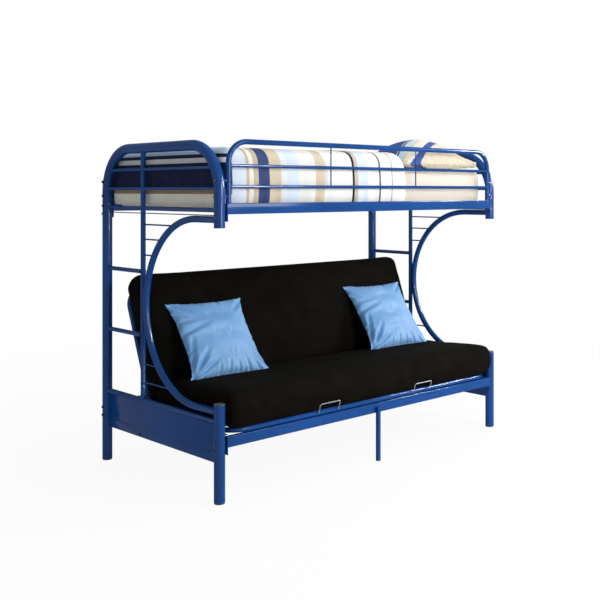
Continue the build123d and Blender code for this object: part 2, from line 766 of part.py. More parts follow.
def bedding_block(start, end, grow, low, pinch, shares):
    """A crowned block between two places along the bed, grown outwards by one thickness."""
    half = mattress_half_width - mattress_bulge + grow
    high = mattress_top - mattress_crown + grow
    stations = [(start + place * mattress_run, share) for place, share in shares]
    stations += [((start + end) / 2, 0)]
    stations += [(end - place * mattress_run, share) for place, share in reversed(shares)]
    slices = []
    for x, share in stations:
        draw = pinch * share
        bulge = mattress_bulge * (1 - share / 2)
        slices.append(bedding_section(x, half - draw, low, high - draw / 2, bulge, mattress_crown))
    with BuildPart() as block:
        loft(slices, ruled=True)
    return block.part


with BuildPart() as mattress:
    ends = (-mattress_half_length, mattress_half_length)
    add(bedding_block(*ends, 0, mattress_bottom, mattress_pinch, end_shares))
finish(mattress.part, "upper_mattress")

# Comforter: a puffed quilt drawn over the foot of the mattress, with its top edge folded back
comforter_drop = 18.0
comforter_low = upper_rail_top - comforter_drop
comforter_gap = 0.8
fold_t = 5.0


def quilt_section(x, half_width, low, high, bulge):
    """One slice across the comforter: full sides, deep round shoulders and a crowned top."""
    left, right = bed_y - half_width, bed_y + half_width
    shoulder = high - comforter_shoulder
    middle = (low + shoulder) / 2
    cut = comforter_shoulder * (1 - sqrt(1 / 2))
    top_left, top_right = (left + comforter_shoulder, high), (right - comforter_shoulder, high)
    with BuildSketch(Plane.YZ.offset(x)) as profile:
        with BuildLine():
            Line((left, low), (right, low))
            ThreePointArc((right, low), (right + bulge, middle), (right, shoulder))
            ThreePointArc((right, shoulder), (right - cut, high - cut), top_right)
            over = ThreePointArc(top_right, (bed_y, high + mattress_crown), top_left)
            ThreePointArc(over @ 1, (left + cut, high - cut), (left, shoulder))
            ThreePointArc((left, shoulder), (left - bulge, middle), (left, low))
        make_face()
    return profile.sketch


def quilt_block(start, end, grow, low, start_run, end_run):
    """A quilt between two places along the bed. A run gives inset, pinch and drop from its end."""
    stations = [(start + inset, pinch, drop) for inset, pinch, drop in start_run]
    stations += [(end - inset, pinch, drop) for inset, pinch, drop in reversed(end_run)]
    slices = []
    for x, pinch, drop in stations:
        half = mattress_half_width - mattress_bulge + comforter_t + grow - pinch
        high = mattress_top + comforter_rise + grow - drop
        slices.append(quilt_section(x, half, low, high, mattress_bulge))
    with BuildPart() as block:
        loft(slices, ruled=True)
    return block.part


def quilt_run(pinch):
    """A comforter's rounded end: inset along the bed, pinch and drop at each station."""
    return [(place * mattress_run, pinch * share, comforter_end_drop * share) for place, share in end_shares]


with BuildPart() as comforter:
    quilt_start = -mattress_half_length - comforter_t
    foot_run, head_run = quilt_run(mattress_pinch), quilt_run(comforter_end_pinch)
    fold_run = [(0, fold_t, fold_t), (fold_t, 0, 0)]
    add(quilt_block(quilt_start, comforter_end_x, 0, comforter_low, foot_run, head_run))
    add(quilt_block(comforter_fold_x, comforter_end_x, fold_t, comforter_low + fold_t, fold_run, head_run))
    inner_half = mattress_half_length + comforter_gap
    inner_low = mattress_bottom - comforter_t
    add(
        bedding_block(-inner_half, inner_half, comforter_gap, inner_low, mattress_pinch, end_shares),
        mode=Mode.SUBTRACT,
    )
finish(comforter.part, "comforter")


# Place along a pillow, its width there and its thickness there, as shares
pillow_shares = (
    (-0.5, 1.0, 0.1),
    (-0.42, 0.97, 0.5),
    (-0.26, 0.94, 0.86),
    (0.0, 0.93, 1.0),
    (0.26, 0.94, 0.86),
    (0.42, 0.97, 0.5),
    (0.5, 1.0, 0.1),
)


def pillow_section(plane, width, thickness, edge):
    """One slice of a pillow: two shallow arcs that meet in thin seamed edges."""
    with BuildSketch(plane) as profile:
        with BuildLine():
            Line((width / 2, -edge / 2), (width / 2, edge / 2))
            ThreePointArc((width / 2, edge / 2), (0, thickness / 2), (-width / 2, edge / 2))
            Line((-width / 2, edge / 2), (-width / 2, -edge / 2))
            ThreePointArc((-width / 2, -edge / 2), (0, -thickness / 2), (width / 2, -edge / 2))
        make_face()
    return profile.sketch


def pillow(centre, length, width, thickness, seam):
    """A seamed pillow about a plane: full width at its corners, drawn in and thick between."""
    slices = []
    for along_share, width_share, thick_share in pillow_shares:
        origin = centre.from_local_coords((0, along_share * length, 0))
        plane = Plane(origin=origin, x_dir=centre.x_dir, z_dir=centre.y_dir)
        slices.append(pillow_section(plane, width * width_share, thickness * thick_share, seam))
    with BuildPart() as body:
        loft(slices, ruled=True)
    return body.part


# Bed pillow at the head of the upper bunk
pillow_seam = 8.0
bed_pillow_l = 450.0
bed_pillow_w = 590.0
bed_pillow_t = 170.0
bed_pillow_share = 0.627
bed_pillow_x = mattress_half_length * bed_pillow_share
bed_pillow_shift = 258.0
bed_pillow_y = bed_y - bed_pillow_shift
bed_pillow_sink = 2.4
bed_pillow_z = mattress_top + soft_gap - bed_pillow_sink + bed_pillow_t / 2
bed_pillow_plane = Plane(
    origin=(bed_pillow_x, bed_pillow_y, bed_pillow_z),
    x_dir=(1, 0, 0),
    z_dir=(0, 0, 1),
)
with BuildPart() as bed_pillow:
    add(pillow(bed_pillow_plane, bed_pillow_l, bed_pillow_w, bed_pillow_t, pillow_seam))
finish(bed_pillow.part, "bed_pillow")

# Throw pillows leaning on the futon back, each standing on one edge
throw_size = 447.0
throw_t = 120.0
throw_lean = 38.0
throw_turn = -3.0
throw_up = 257.0
throw_out = 256.3
throw_across_shares = (-0.655, 0.65)
throw_facing = Vector(0, -cos(radians(throw_lean)), sin(radians(throw_lean))).rotate(Axis.Z, throw_turn)
throw_level = Vector(1, 0, 0).rotate(Axis.Z, throw_turn)
for side, share in zip(("left", "right"), throw_across_shares):
    middle = back_deck.from_local_coords((futon_half_length * share, throw_up, throw_out))
    throw_plane = Plane(origin=middle, x_dir=throw_level, z_dir=throw_facing)
    with BuildPart() as throw_pillow:
        add(pillow(throw_plane, throw_size, throw_size, throw_t, pillow_seam))
    finish(throw_pillow.part, f"{side}_throw_pillow")
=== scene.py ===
from math import exp, pi, radians, sin, sqrt, tan

import bmesh
import bpy
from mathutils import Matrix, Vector


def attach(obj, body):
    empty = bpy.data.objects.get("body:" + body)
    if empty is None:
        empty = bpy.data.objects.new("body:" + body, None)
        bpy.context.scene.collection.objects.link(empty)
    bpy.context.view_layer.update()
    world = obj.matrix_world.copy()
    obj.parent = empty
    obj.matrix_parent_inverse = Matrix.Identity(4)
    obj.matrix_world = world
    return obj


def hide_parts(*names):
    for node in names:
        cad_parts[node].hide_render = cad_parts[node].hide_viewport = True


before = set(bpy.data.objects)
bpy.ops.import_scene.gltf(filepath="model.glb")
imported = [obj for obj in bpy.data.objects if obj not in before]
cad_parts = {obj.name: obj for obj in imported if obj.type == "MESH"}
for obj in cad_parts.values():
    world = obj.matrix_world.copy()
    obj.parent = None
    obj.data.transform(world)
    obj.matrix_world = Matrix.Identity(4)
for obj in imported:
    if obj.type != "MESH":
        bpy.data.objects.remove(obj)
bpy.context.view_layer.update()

# ------------------------------------------------------------------ End loops
# Each end of the bed is one loop of 51 mm (2 in) steel tube: rear leg, top bar and
# front stub in one bend, sawn square and open at the stub. All steel is powder coated.


def linear(code):
    """An sRGB colour from a paint card as the linear values that Blender mixes."""
    parts = [int(code[place : place + 2], 16) / 255 for place in (1, 3, 5)]
    return (*[c / 12.92 if c <= 0.04045 else ((c + 0.055) / 1.055) ** 2.4 for c in parts], 1.0)


def node(owner, kind, settings, links):
    """Adds a node to a material or the world, with its settings, and links its inputs."""
    tree = owner.node_tree
    made = tree.nodes.new(kind)
    for key, value in settings.items():
        if isinstance(key, str) and hasattr(made, key):
            setattr(made, key, value)
        else:
            made.inputs[key].default_value = value
    for key, source in links.items():
        tree.links.new(source, made.inputs[key])
    return made


def bare(name, kind="materials"):
    """A new material, or a world, with an empty node tree."""
    owner = getattr(bpy.data, kind).new(name)
    owner.use_nodes = True
    owner.node_tree.nodes.clear()
    return owner


def mottle(owner, scale, detail, stretch=None):
    """Noise over a material in the bed's own coordinates. A stretch tightens it one way."""
    place = node(owner, "ShaderNodeTexCoord", {}, {}).outputs["Object"]
    if stretch:
        tight = node(owner, "ShaderNodeMapping", {"Scale": stretch}, {"Vector": place})
        place = tight.outputs["Vector"]
    cloudy = node(owner, "ShaderNodeTexNoise", {"Scale": scale, "Detail": detail}, {"Vector": place})
    return cloudy.outputs["Fac"]


def two_tone(owner, factor, first, second, first_at=0.0, second_at=1.0):
    """A colour that turns from one tone to another as a factor rises."""
    ramp = node(owner, "ShaderNodeValToRGB", {}, {"Fac": factor})
    for stop, code, at in zip(ramp.color_ramp.elements, (first, second), (first_at, second_at)):
        stop.position = at
        stop.color = linear(code)
    return ramp.outputs["Color"]


def remap(owner, value, low, high, first=0.0, last=1.0):
    """Turns what runs from first to last into what runs from low to high."""
    ranges = {"From Min": first, "From Max": last, "To Min": low, "To Max": high}
    return node(owner, "ShaderNodeMapRange", ranges, {"Value": value}).outputs["Result"]


def relief(owner, height, strength, deep, under=None):
    """Bumps a surface, on top of another bump where one is given."""
    links = {"Height": height} if under is None else {"Height": height, "Normal": under}
    bump = node(owner, "ShaderNodeBump", {"Strength": strength, "Distance": deep}, links)
    return bump.outputs["Normal"]


def surface(owner, settings, links):
    """Ends a material in one principled shader."""
    shader = node(owner, "ShaderNodeBsdfPrincipled", settings, links)
    node(owner, "ShaderNodeOutputMaterial", {}, {"Surface": shader.outputs["BSDF"]})


def begin(name):
    """An empty piece at the origin, open for modelling."""
    bpy.ops.object.select_all(action="DESELECT")
    bpy.ops.object.add(type="MESH", enter_editmode=True, location=(0, 0, 0))
    piece = bpy.context.object
    piece.name = name
    piece.data.name = name
    return piece


def ring(centre, along, radius, sides, fill="NGON"):
    """A disc square to a direction, the start of a round member."""
    bpy.ops.mesh.select_all(action="DESELECT")
    turn = Vector(along).to_track_quat("Z", "Y").to_euler()
    bpy.ops.mesh.primitive_circle_add(
        vertices=sides, radius=radius, location=centre, rotation=turn, fill_type=fill
    )


def draw(step):
    """Draws the selected end out in a straight run."""
    bpy.ops.mesh.extrude_region_move(TRANSFORM_OT_translate={"value": tuple(step)})


def rod(first, last, radius, sides):
    """A plain round rod between two places."""
    along = Vector(last) - Vector(first)
    ring(first, along, radius, sides)
    draw(along)


def widen(centre, share):
    """Widens or narrows the selected end about its middle."""
    bpy.ops.transform.resize(value=(share, share, share), center_override=tuple(centre))


def bend(centre, axis, angle, steps):
    """Draws the selected end round a bend. The spin tool turns the left-handed way."""
    bpy.ops.mesh.spin(steps=steps, angle=-angle, center=tuple(centre), axis=tuple(axis))


bend_steps = 14


def bent_tube(points, bend_r, radius, sides):
    """A round tube through straight runs joined by bends, closed where it ends as it began."""
    points = [Vector(p) for p in points]
    closed = points[0] == points[-1]
    ring(points[0], points[1] - points[0], radius, sides, "NOTHING" if closed else "NGON")
    here = points[0]
    for corner, following, turn_r in zip(points[1:-1], points[2:], bend_r):
        first, second = (corner - here).normalized(), (following - corner).normalized()
        angle = first.angle(second)
        cut = turn_r * tan(angle / 2)
        inward = (second - first * first.dot(second)).normalized()
        draw(corner - first * cut - here)
        bend(corner - first * cut + inward * turn_r, first.cross(second), angle, bend_steps)
        here = corner + second * cut
    draw(points[-1] - here)


def pick(piece, kind, wanted):
    """Selects the edges or faces of the open piece whose middle passes a test."""
    bpy.ops.mesh.select_mode(type={"edges": "EDGE", "faces": "FACE"}[kind])
    bpy.ops.mesh.select_all(action="DESELECT")
    shape = bmesh.from_edit_mesh(piece.data)
    for item in getattr(shape, kind):
        if wanted(sum((corner.co for corner in item.verts), Vector()) / len(item.verts)):
            item.select_set(True)
    bmesh.update_edit_mesh(piece.data)


def worked(piece, name, kind, **settings):
    """Adds a modifier to a piece and applies it at once."""
    modifier = piece.modifiers.new(name, kind)
    for key, value in settings.items():
        setattr(modifier, key, value)
    bpy.ops.object.modifier_apply(modifier=modifier.name)


def close_piece(piece, body, solid, material, crease=40):
    """Leaves edit mode, smooths the shading, hangs the piece on the body it rides on and hides the solid
    it stands in for.
    """
    bpy.ops.mesh.select_mode(type="VERT")
    bpy.ops.mesh.select_all(action="SELECT")
    bpy.ops.mesh.normals_make_consistent(inside=False)
    bpy.ops.object.mode_set(mode="OBJECT")
    bpy.ops.object.shade_smooth_by_angle(angle=radians(crease))
    piece.data.materials.clear()
    piece.data.materials.append(material)
    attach(piece, body)
    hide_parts(solid)


# Powder-coated steel, epoxy-polyester, glossy: light slides along the tubes as a soft
# streak, and the baked film has the faint waviness of orange peel and a hint of cloud.
enamel = bare("blue_powder_coat")
peel_width = 0.006  # real orange peel is 1 to 3 mm wide; drawn twice as coarse so that it shows
cloud_width = 0.35
cloud = mottle(enamel, 1 / cloud_width, 3.0)
peel = relief(enamel, mottle(enamel, 1 / peel_width, 1.0), 0.05, 0.001)
surface(
    enamel,
    {"Roughness": 0.6, "Specular IOR Level": 0.0, "Coat Weight": 0.17, "Coat IOR": 1.7},
    {
        "Base Color": two_tone(enamel, cloud, "#11427F", "#184C94", 0.3, 0.7),
        "Coat Roughness": remap(enamel, cloud, 0.1, 0.15, 0.3, 0.7),
        "Normal": peel,
        "Coat Normal": peel,
    },
)


def enamelled(piece, solid, body="bed_frame", crease=40):
    """Closes a piece of coated steel."""
    close_piece(piece, body, solid, enamel, crease)


post_r = 0.0254
post_wall = 0.0016
post_x = 0.9651
front_y, rear_y = -0.49415, 0.52185
leg_foot = 0.005
ends = (("left", -post_x), ("right", post_x))
loop_top = 1.6256
loop_bend = 0.22
stub_end = 1.243
bore_deep = 0.03
post_sides = 32
near = 0.0005

for side, x in ends:
    loop = begin(f"{side}_loop")
    rear = [(x, rear_y, leg_foot), (x, rear_y, loop_top)]
    front = [(x, front_y, loop_top), (x, front_y, stub_end)]
    bent_tube([*rear, *front], (loop_bend, loop_bend), post_r, post_sides)
    pick(loop, "faces", lambda middle: (middle - Vector((x, front_y, stub_end))).length < near)
    bpy.ops.mesh.inset(thickness=post_wall)
    draw((0, 0, bore_deep))
    enamelled(loop, f"{side}_end_loop")

# ----------------------------------------------------------------- Front legs
# A short leg of the same tube stands under each stub, where the lower rail meets the end.
# Its open top is closed with a moulded cap, and every foot stands on a moulded glide.

leg_top = 0.446
for side, x in ends:
    leg = begin(f"{side}_leg")
    ring((x, front_y, leg_foot), (0, 0, 1), post_r, post_sides)
    draw((0, 0, leg_top - leg_foot))
    enamelled(leg, f"{side}_front_leg")

# Low-density polyethylene, injection moulded and black: dull, with a fine spark-eroded grain
# that scatters the light, so the caps read as dark grey beside the coated steel.
plastic = bare("black_moulded_polyethylene")
grain_width = 0.0015
grain = mottle(plastic, 1 / grain_width, 2.0)
surface(
    plastic,
    {"IOR": 1.51, "Roughness": 0.55},
    {
        "Base Color": two_tone(plastic, grain, "#1B1B1D", "#34343A"),
        "Normal": relief(plastic, grain, 0.3, 0.0003),
    },
)

cap_t = 0.004
cap_round = 0.0012
caps = begin("leg_top_caps")
for x in (-post_x, post_x):
    ring((x, front_y, leg_top), (0, 0, 1), post_r, post_sides)
    draw((0, 0, cap_t - cap_round))
    draw((0, 0, cap_round))
    widen((x, front_y, leg_top + cap_t), 1 - cap_round / post_r)
close_piece(caps, "bed_frame", "leg_caps", plastic)

glide_round = 0.001
glides = begin("post_glides")
for x in (-post_x, post_x):
    for y in (front_y, rear_y):
        ring((x, y, 0), (0, 0, 1), post_r - 2 * glide_round, post_sides)
        draw((0, 0, glide_round))
        widen((x, y, glide_round), 1 + glide_round / post_r)
        draw((0, 0, leg_foot - glide_round))
close_piece(glides, "bed_frame", "foot_glides", plastic)

# --------------------------------------------------------------- Arched braces
# A half circle of 32 mm tube ties the stub to the front leg at each end of the bed.
# It is rolled to its radius, coped to both posts and welded all round.

arch_r = 0.0159
arch_bend = 0.436
arch_y, arch_z = -0.30235, 0.8445
arch_sides = 24
arch_steps = 56
bead = 0.002
bead_out = 0.004
bead_in = 0.004


def seat_depth(radius, mate_r):
    """How far a member reaches past the near face of the round it is welded to."""
    return mate_r - sqrt(mate_r**2 - min(radius, mate_r * 0.9) ** 2) + bead_in


def welded_start(centre, along, radius, mate_r, sides):
    """Starts a member inside the round it is welded to, with the bead round its foot."""
    inside = centre + along * (mate_r - seat_depth(radius, mate_r))
    run = seat_depth(radius, mate_r) + bead_out
    swell = 1 + bead * run / bead_out / radius
    ring(inside, along, radius * swell, sides)
    draw(along * run)
    widen(inside + along * run, 1 / swell)
    return inside + along * run


def welded_end(here, centre, along, radius, mate_r):
    """Draws a member on into the round at its far end, with the bead round it."""
    run = seat_depth(radius, mate_r) + bead_out
    inside = centre - along * (mate_r - seat_depth(radius, mate_r))
    draw(inside - along * run - here)
    draw(along * run)
    widen(inside, 1 + bead * run / bead_out / radius)


for side, x in ends:
    arch = begin(f"{side}_arch")
    upper, lower = Vector((x, front_y, arch_z + arch_bend)), Vector((x, front_y, arch_z - arch_bend))
    back, forward = Vector((0, 1, 0)), Vector((0, -1, 0))
    here = welded_start(upper, back, arch_r, post_r, arch_sides)
    draw(Vector((x, arch_y, arch_z + arch_bend)) - here)
    bend((x, arch_y, arch_z), (-1, 0, 0), pi, arch_steps)
    welded_end(Vector((x, arch_y, arch_z - arch_bend)), lower, forward, arch_r, post_r)
    enamelled(arch, f"{side}_arch_tube")

# --------------------------------------------------------------------- Ladders
# A 25 mm upright stands on each end panel's top tube and runs up into the loop. Two rungs
# of 22 mm tube join it to the rear leg, and three thin bars close the end above them.

tube_r = 0.0127
tube_sides = 22
ladder_y = 0.16255
panel_tube_z = 0.3648
rung_r = 0.011
rung_levels = (0.6903, 1.008)
bar_r = 0.008
bar_sides = 16
end_bar_levels = (1.519, 1.423, 1.327)


def welded_bar(start, end, radius, sides, start_mate, end_mate):
    """A straight member between the middles of two rounds, with a bead at both."""
    start, end = Vector(start), Vector(end)
    along = (end - start).normalized()
    here = welded_start(start, along, radius, start_mate, sides)
    welded_end(here, end, along, radius, end_mate)


for side, x in ends:
    upright = begin(f"{side}_upright")
    welded_bar((x, ladder_y, loop_top), (x, ladder_y, panel_tube_z), tube_r, tube_sides, post_r, tube_r)
    enamelled(upright, f"{side}_ladder_upright")

    rungs = begin(f"{side}_rungs")
    for level in rung_levels:
        welded_bar((x, ladder_y, level), (x, rear_y, level), rung_r, tube_sides, tube_r, post_r)
    enamelled(rungs, f"{side}_ladder_rungs")

    # The loop's corners are round up here, so the highest bar meets them inside the posts' line
    bars = begin(f"{side}_closing_bars")
    for level in end_bar_levels:
        rise = max(0.0, level - (loop_top - loop_bend))
        inset = loop_bend - sqrt(loop_bend**2 - rise**2)
        first, last = (x, front_y + inset, level), (x, rear_y - inset, level)
        welded_bar(first, last, bar_r, bar_sides, post_r, post_r)
    enamelled(bars, f"{side}_end_bars")

# ------------------------------------------------------------------ Arch rods
# Five 8 mm rods fill the wedge between each arch and the ladder upright beside it.
# They are cut to length on the slant of the arch and tacked at both ends.

rod_r = 0.004
rod_sides = 12
arch_rod_levels = (1.2439, 1.1702, 1.0913, 0.5471, 0.4569)
for side, x in ends:
    rods = begin(f"{side}_wedge_rods")
    for level in arch_rod_levels:
        reach = arch_y + sqrt(arch_bend**2 - (level - arch_z) ** 2)
        rod((x, ladder_y, level), (x, reach, level), rod_r, rod_sides)
    enamelled(rods, f"{side}_arch_rods")

# ----------------------------------------------------------------- End panels
# Under each ladder a pressed steel sheet closes the end, hung from a 25 mm tube. Its lower
# strip is stepped outwards and its edge hemmed, and bolts through it hold the futon's track.

sheet_t = 0.002
sheet_top = 0.3518
step_high, step_low = 0.222, 0.218
sheet_foot = 0.179
sheet_step = 0.004
sheet_hem = 0.012
sheet_front, sheet_rear = front_y + 0.024, rear_y - 0.024
sheet_round = 0.0006
for side, outward in (("left", -1), ("right", 1)):
    x = outward * post_x
    top_tube = begin(f"{side}_panel_top_tube")
    welded_bar((x, front_y, panel_tube_z), (x, rear_y, panel_tube_z), tube_r, tube_sides, post_r, post_r)
    enamelled(top_tube, f"{side}_panel_tube")

    panel = begin(f"{side}_pressed_panel")
    edge_x = x + outward * sheet_step
    middle = Vector((edge_x - outward * sheet_hem / 2, (sheet_front + sheet_rear) / 2, sheet_foot))
    bpy.ops.mesh.primitive_plane_add(size=1, location=middle)
    bpy.ops.transform.resize(value=(sheet_hem, sheet_rear - sheet_front, 1), center_override=middle)
    pick(panel, "edges", lambda m: abs(m.x - edge_x) < near)
    draw((0, 0, step_low - sheet_foot))
    draw((-outward * sheet_step, 0, step_high - step_low))
    draw((0, 0, sheet_top - step_high))
    bpy.ops.object.mode_set(mode="OBJECT")
    worked(panel, "sheet", "SOLIDIFY", thickness=sheet_t, offset=0)
    worked(panel, "pressed_edges", "BEVEL", width=sheet_round, segments=2)
    bpy.ops.object.mode_set(mode="EDIT")
    enamelled(panel, f"{side}_end_panel", crease=30)

# Bolts: hexagon heads on round washers, through the posts' outer sides and the end panels.
# Low-carbon steel under black zinc: a dark, faintly oily metal, brighter where a spanner rubbed.
black_zinc = bare("black_zinc_plate")
rub_width = 0.004
rub = mottle(black_zinc, 1 / rub_width, 4.0)
surface(
    black_zinc,
    {"Metallic": 1.0},
    {
        "Base Color": two_tone(black_zinc, rub, "#16181A", "#4A4E54"),
        "Roughness": remap(black_zinc, rub, 0.3, 0.5),
    },
)

head_r = 0.0065
head_h = 0.0045
head_round = 0.0008
washer_r = 0.0085
washer_t = 0.0012
washer_sides = 20
hex_sides = 6


def bolt(seat, along):
    """One bolt head on its washer, seated on a face and standing out along a direction."""
    seat, along = Vector(seat), Vector(along)
    ring(seat, along, washer_r, washer_sides)
    draw(along * washer_t)
    ring(seat + along * washer_t, along, head_r, hex_sides)
    draw(along * (head_h - head_round))
    draw(along * head_round)
    widen(seat + along * (washer_t + head_h), 1 - head_round / head_r)


panel_bolt_y, panel_bolt_z = 0.18795, 0.19
panel_heads = begin("panel_bolt_heads")
for outward in (-1, 1):
    face = outward * (post_x + sheet_step + sheet_t / 2)
    bolt((face, panel_bolt_y, panel_bolt_z), (outward, 0, 0))
close_piece(panel_heads, "bed_frame", "panel_bolts", black_zinc, crease=25)

# ---------------------------------------------------------------- Upper rails
# Rectangular tube, 50 by 25 mm, runs the length of the deck on both sides. A drop plate is
# welded on each end and bolted through the post, with its heads on the post's outer side.

rail_half = 0.9394
rail_h, rail_t = 0.05, 0.0254
rail_round = 0.003
plate_t, plate_w, plate_drop = 0.004, 0.04, 0.033
plate_round = 0.0008
upper_rail_top, lower_rail_top = 1.355, 0.3
front_rail_y, rear_rail_y = -0.50685, 0.53455


def block(low, high, edge):
    """A squared block between two corners, with its edges taken off."""
    low, high = Vector(low), Vector(high)
    middle = (low + high) / 2
    bpy.ops.mesh.select_all(action="DESELECT")
    bpy.ops.mesh.primitive_cube_add(size=1, location=middle)
    bpy.ops.transform.resize(value=tuple(high - low), center_override=tuple(middle))
    bpy.ops.mesh.bevel(offset=edge, segments=3, affect="EDGES")


rails = (("front", front_rail_y, 1), ("rear", rear_rail_y, -1))


def side_rails(name, solid, top):
    """Both rails of a level, each with two drop plates, which reach inwards behind the posts."""
    for place_name, rail_y, inward in rails:
        rail = begin(f"{place_name}_{name}")
        low = (-rail_half, rail_y - rail_t / 2, top - rail_h)
        block(low, (rail_half, rail_y + rail_t / 2, top), rail_round)
        outer_y = rail_y - inward * rail_t / 2
        plate_ys = sorted((outer_y, outer_y + inward * plate_w))
        for end in (-1, 1):
            plate_xs = sorted((end * rail_half, end * (rail_half - plate_t)))
            low = (plate_xs[0], plate_ys[0], top - rail_h - plate_drop)
            block(low, (plate_xs[1], plate_ys[1], top), plate_round)
        enamelled(rail, f"{place_name}_{solid}", crease=50)


side_rails("deck_rail", "upper_rail", upper_rail_top)


def post_bolts(name, solid, levels):
    """Bolt heads on the outer side of all four posts, at each level."""
    heads = begin(name)
    for outward in (-1, 1):
        for y in (front_y, rear_y):
            for level in levels:
                bolt((outward * (post_x + post_r), y, level), (outward, 0, 0))
    close_piece(heads, "bed_frame", solid, black_zinc, crease=25)


post_bolts("deck_bolt_heads", "upper_rail_bolts", (1.333, 1.292, 1.385, 1.458))

# ---------------------------------------------------------------- Guard rails
# A hoop of 25 mm tube is welded on each upper rail, with two bars and two thin rods in it.
# Short spacers hold the hoop's legs off the posts.

hoop_x = 0.9251
hoop_top = 1.6383
hoop_foot = 1.353
hoop_bend = 0.1
guard_bar_levels = (1.431, 1.527)
guard_rod_r = 0.0035
guard_rod_x = 0.3084
spacer_r = 0.007
spacer_levels = (1.385, 1.458)
for place_name, rail_y, _ in rails:
    hoop = begin(f"{place_name}_guard_hoop")
    corners = [(-hoop_x, rail_y, hoop_foot), (-hoop_x, rail_y, hoop_top), (hoop_x, rail_y, hoop_top)]
    bent_tube([*corners, (hoop_x, rail_y, hoop_foot)], (hoop_bend, hoop_bend), tube_r, tube_sides)
    enamelled(hoop, f"{place_name}_guard_rail")

    bars = begin(f"{place_name}_guard_cross_bars")
    for level in guard_bar_levels:
        rise = max(0.0, level - (hoop_top - hoop_bend))
        inset = hoop_bend - sqrt(hoop_bend**2 - rise**2)
        first, last = (inset - hoop_x, rail_y, level), (hoop_x - inset, rail_y, level)
        welded_bar(first, last, bar_r, bar_sides, tube_r, tube_r)
    enamelled(bars, f"{place_name}_guard_bars")

    rods = begin(f"{place_name}_guard_thin_rods")
    for x in (-guard_rod_x, guard_rod_x):
        rod((x, rail_y, guard_bar_levels[0]), (x, rail_y, hoop_top), guard_rod_r, rod_sides)
    enamelled(rods, f"{place_name}_guard_rods")

spacers = begin("hoop_spacers")
for rail_y in (front_rail_y, rear_rail_y):
    for outward in (-1, 1):
        for level in spacer_levels:
            inner, outer = (outward * hoop_x, rail_y, level), (outward * post_x, rail_y, level)
            rod(inner, outer, spacer_r, bar_sides)
enamelled(spacers, "guard_spacers")

# ----------------------------------------------------------------- Upper deck
# Five square tubes cross from rail to rail and carry a welded mesh of 5 mm wire, which
# carries the mattress. One more wire closes each end of the deck between the posts.

bed_y = 0.01385
deck_low, deck_high = 1.306, 1.32
deck_half = 0.5077
deck_tube_xs = (-0.777, -0.3885, 0.0, 0.3885, 0.777)
deck_tube_half = 0.01
deck_round = 0.0015
deck_tubes = begin("deck_cross_tubes")
for x in deck_tube_xs:
    low = (x - deck_tube_half, bed_y - deck_half, deck_low)
    block(low, (x + deck_tube_half, bed_y + deck_half, deck_high), deck_round)
enamelled(deck_tubes, "upper_deck_tubes", crease=50)

# Hard-drawn steel wire, spot welded and dipped in grey paint: thin, even and half glossy,
# with a slightly uneven film.
wire_paint = bare("grey_painted_wire")
film_width = 0.012
film = mottle(wire_paint, 1 / film_width, 3.0)
surface(
    wire_paint,
    {"IOR": 1.5, "Roughness": 0.38},
    {
        "Base Color": two_tone(wire_paint, film, "#6B6D72", "#8C8E93"),
        "Normal": relief(wire_paint, film, 0.15, 0.0003),
    },
)

wire_r = 0.0025
wire_sides = 8


def spread(low, high, count):
    """Evenly spaced places from low to high."""
    return [low + (high - low) * step / (count - 1) for step in range(count)]


def mesh_of_wires(across, along, half_width, start, end, level, upper_level, at):
    """Two layers of wires, one each way. at turns (across, along, up) into a place in the bed."""
    for y in along:
        rod(at(-half_width, y, upper_level), at(half_width, y, upper_level), wire_r, wire_sides)
    for x in across:
        rod(at(x, start, level), at(x, end, level), wire_r, wire_sides)


outer_wire_x, outer_wire_y = 0.897, 0.4917
wire_half_x, wire_half_y = 0.905, 0.4997
long_wires, cross_wires = 8, 14
long_wire_z, cross_wire_z = 1.3228, 1.3281
deck_mesh = begin("deck_wire_mesh")
mesh_of_wires(
    spread(-outer_wire_x, outer_wire_x, cross_wires),
    spread(-outer_wire_y, outer_wire_y, long_wires),
    wire_half_x,
    -wire_half_y,
    wire_half_y,
    cross_wire_z,
    long_wire_z,
    lambda across, along, up: Vector((across, bed_y + along, up)),
)
close_piece(deck_mesh, "bed_frame", "upper_deck_mesh", wire_paint)

end_wire_z = 1.3
end_wires = begin("deck_end_wires")
for x in (-post_x, post_x):
    rod((x, front_y, end_wire_z), (x, rear_y, end_wire_z), wire_r, wire_sides)
enamelled(end_wires, "deck_end_rods")

# ---------------------------------------------------------------- Lower rails
# The same rail below ties the front legs together, and another the rear legs. A thin square
# leg is welded to the middle of each and stands on a small square glide.

side_rails("seat_rail", "lower_rail", lower_rail_top)
post_bolts("seat_rail_bolt_heads", "lower_rail_bolts", (0.278, 0.237))

centre_half = 0.0095
centre_top = 0.28
centre_round = 0.0015
centre_ys = (-0.52935, 0.55705)
for place_name, y in zip(("front", "rear"), centre_ys):
    centre_leg = begin(f"{place_name}_middle_leg")
    low = (-centre_half, y - centre_half, leg_foot)
    block(low, (centre_half, y + centre_half, centre_top), centre_round)
    enamelled(centre_leg, f"{place_name}_centre_leg", crease=50)
centre_glides = begin("middle_leg_glides")
for y in centre_ys:
    block((-centre_half, y - centre_half, 0), (centre_half, y + centre_half, leg_foot), glide_round)
close_piece(centre_glides, "bed_frame", "centre_leg_glides", plastic, crease=50)

# --------------------------------------------------------------- Futon tracks
# An angle iron on the inside of each end panel carries the futon. Its upper face is a ledge
# that the seat's glides slide on. Folded sheet, coated blue with the rest.


def dress(material, *names):
    """Gives nodes that keep their own shape a finish in their material slots."""
    for name in names:
        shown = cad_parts[name].data
        shown.materials.clear()
        shown.materials.append(material)


dress(enamel, "left_futon_track", "right_futon_track")

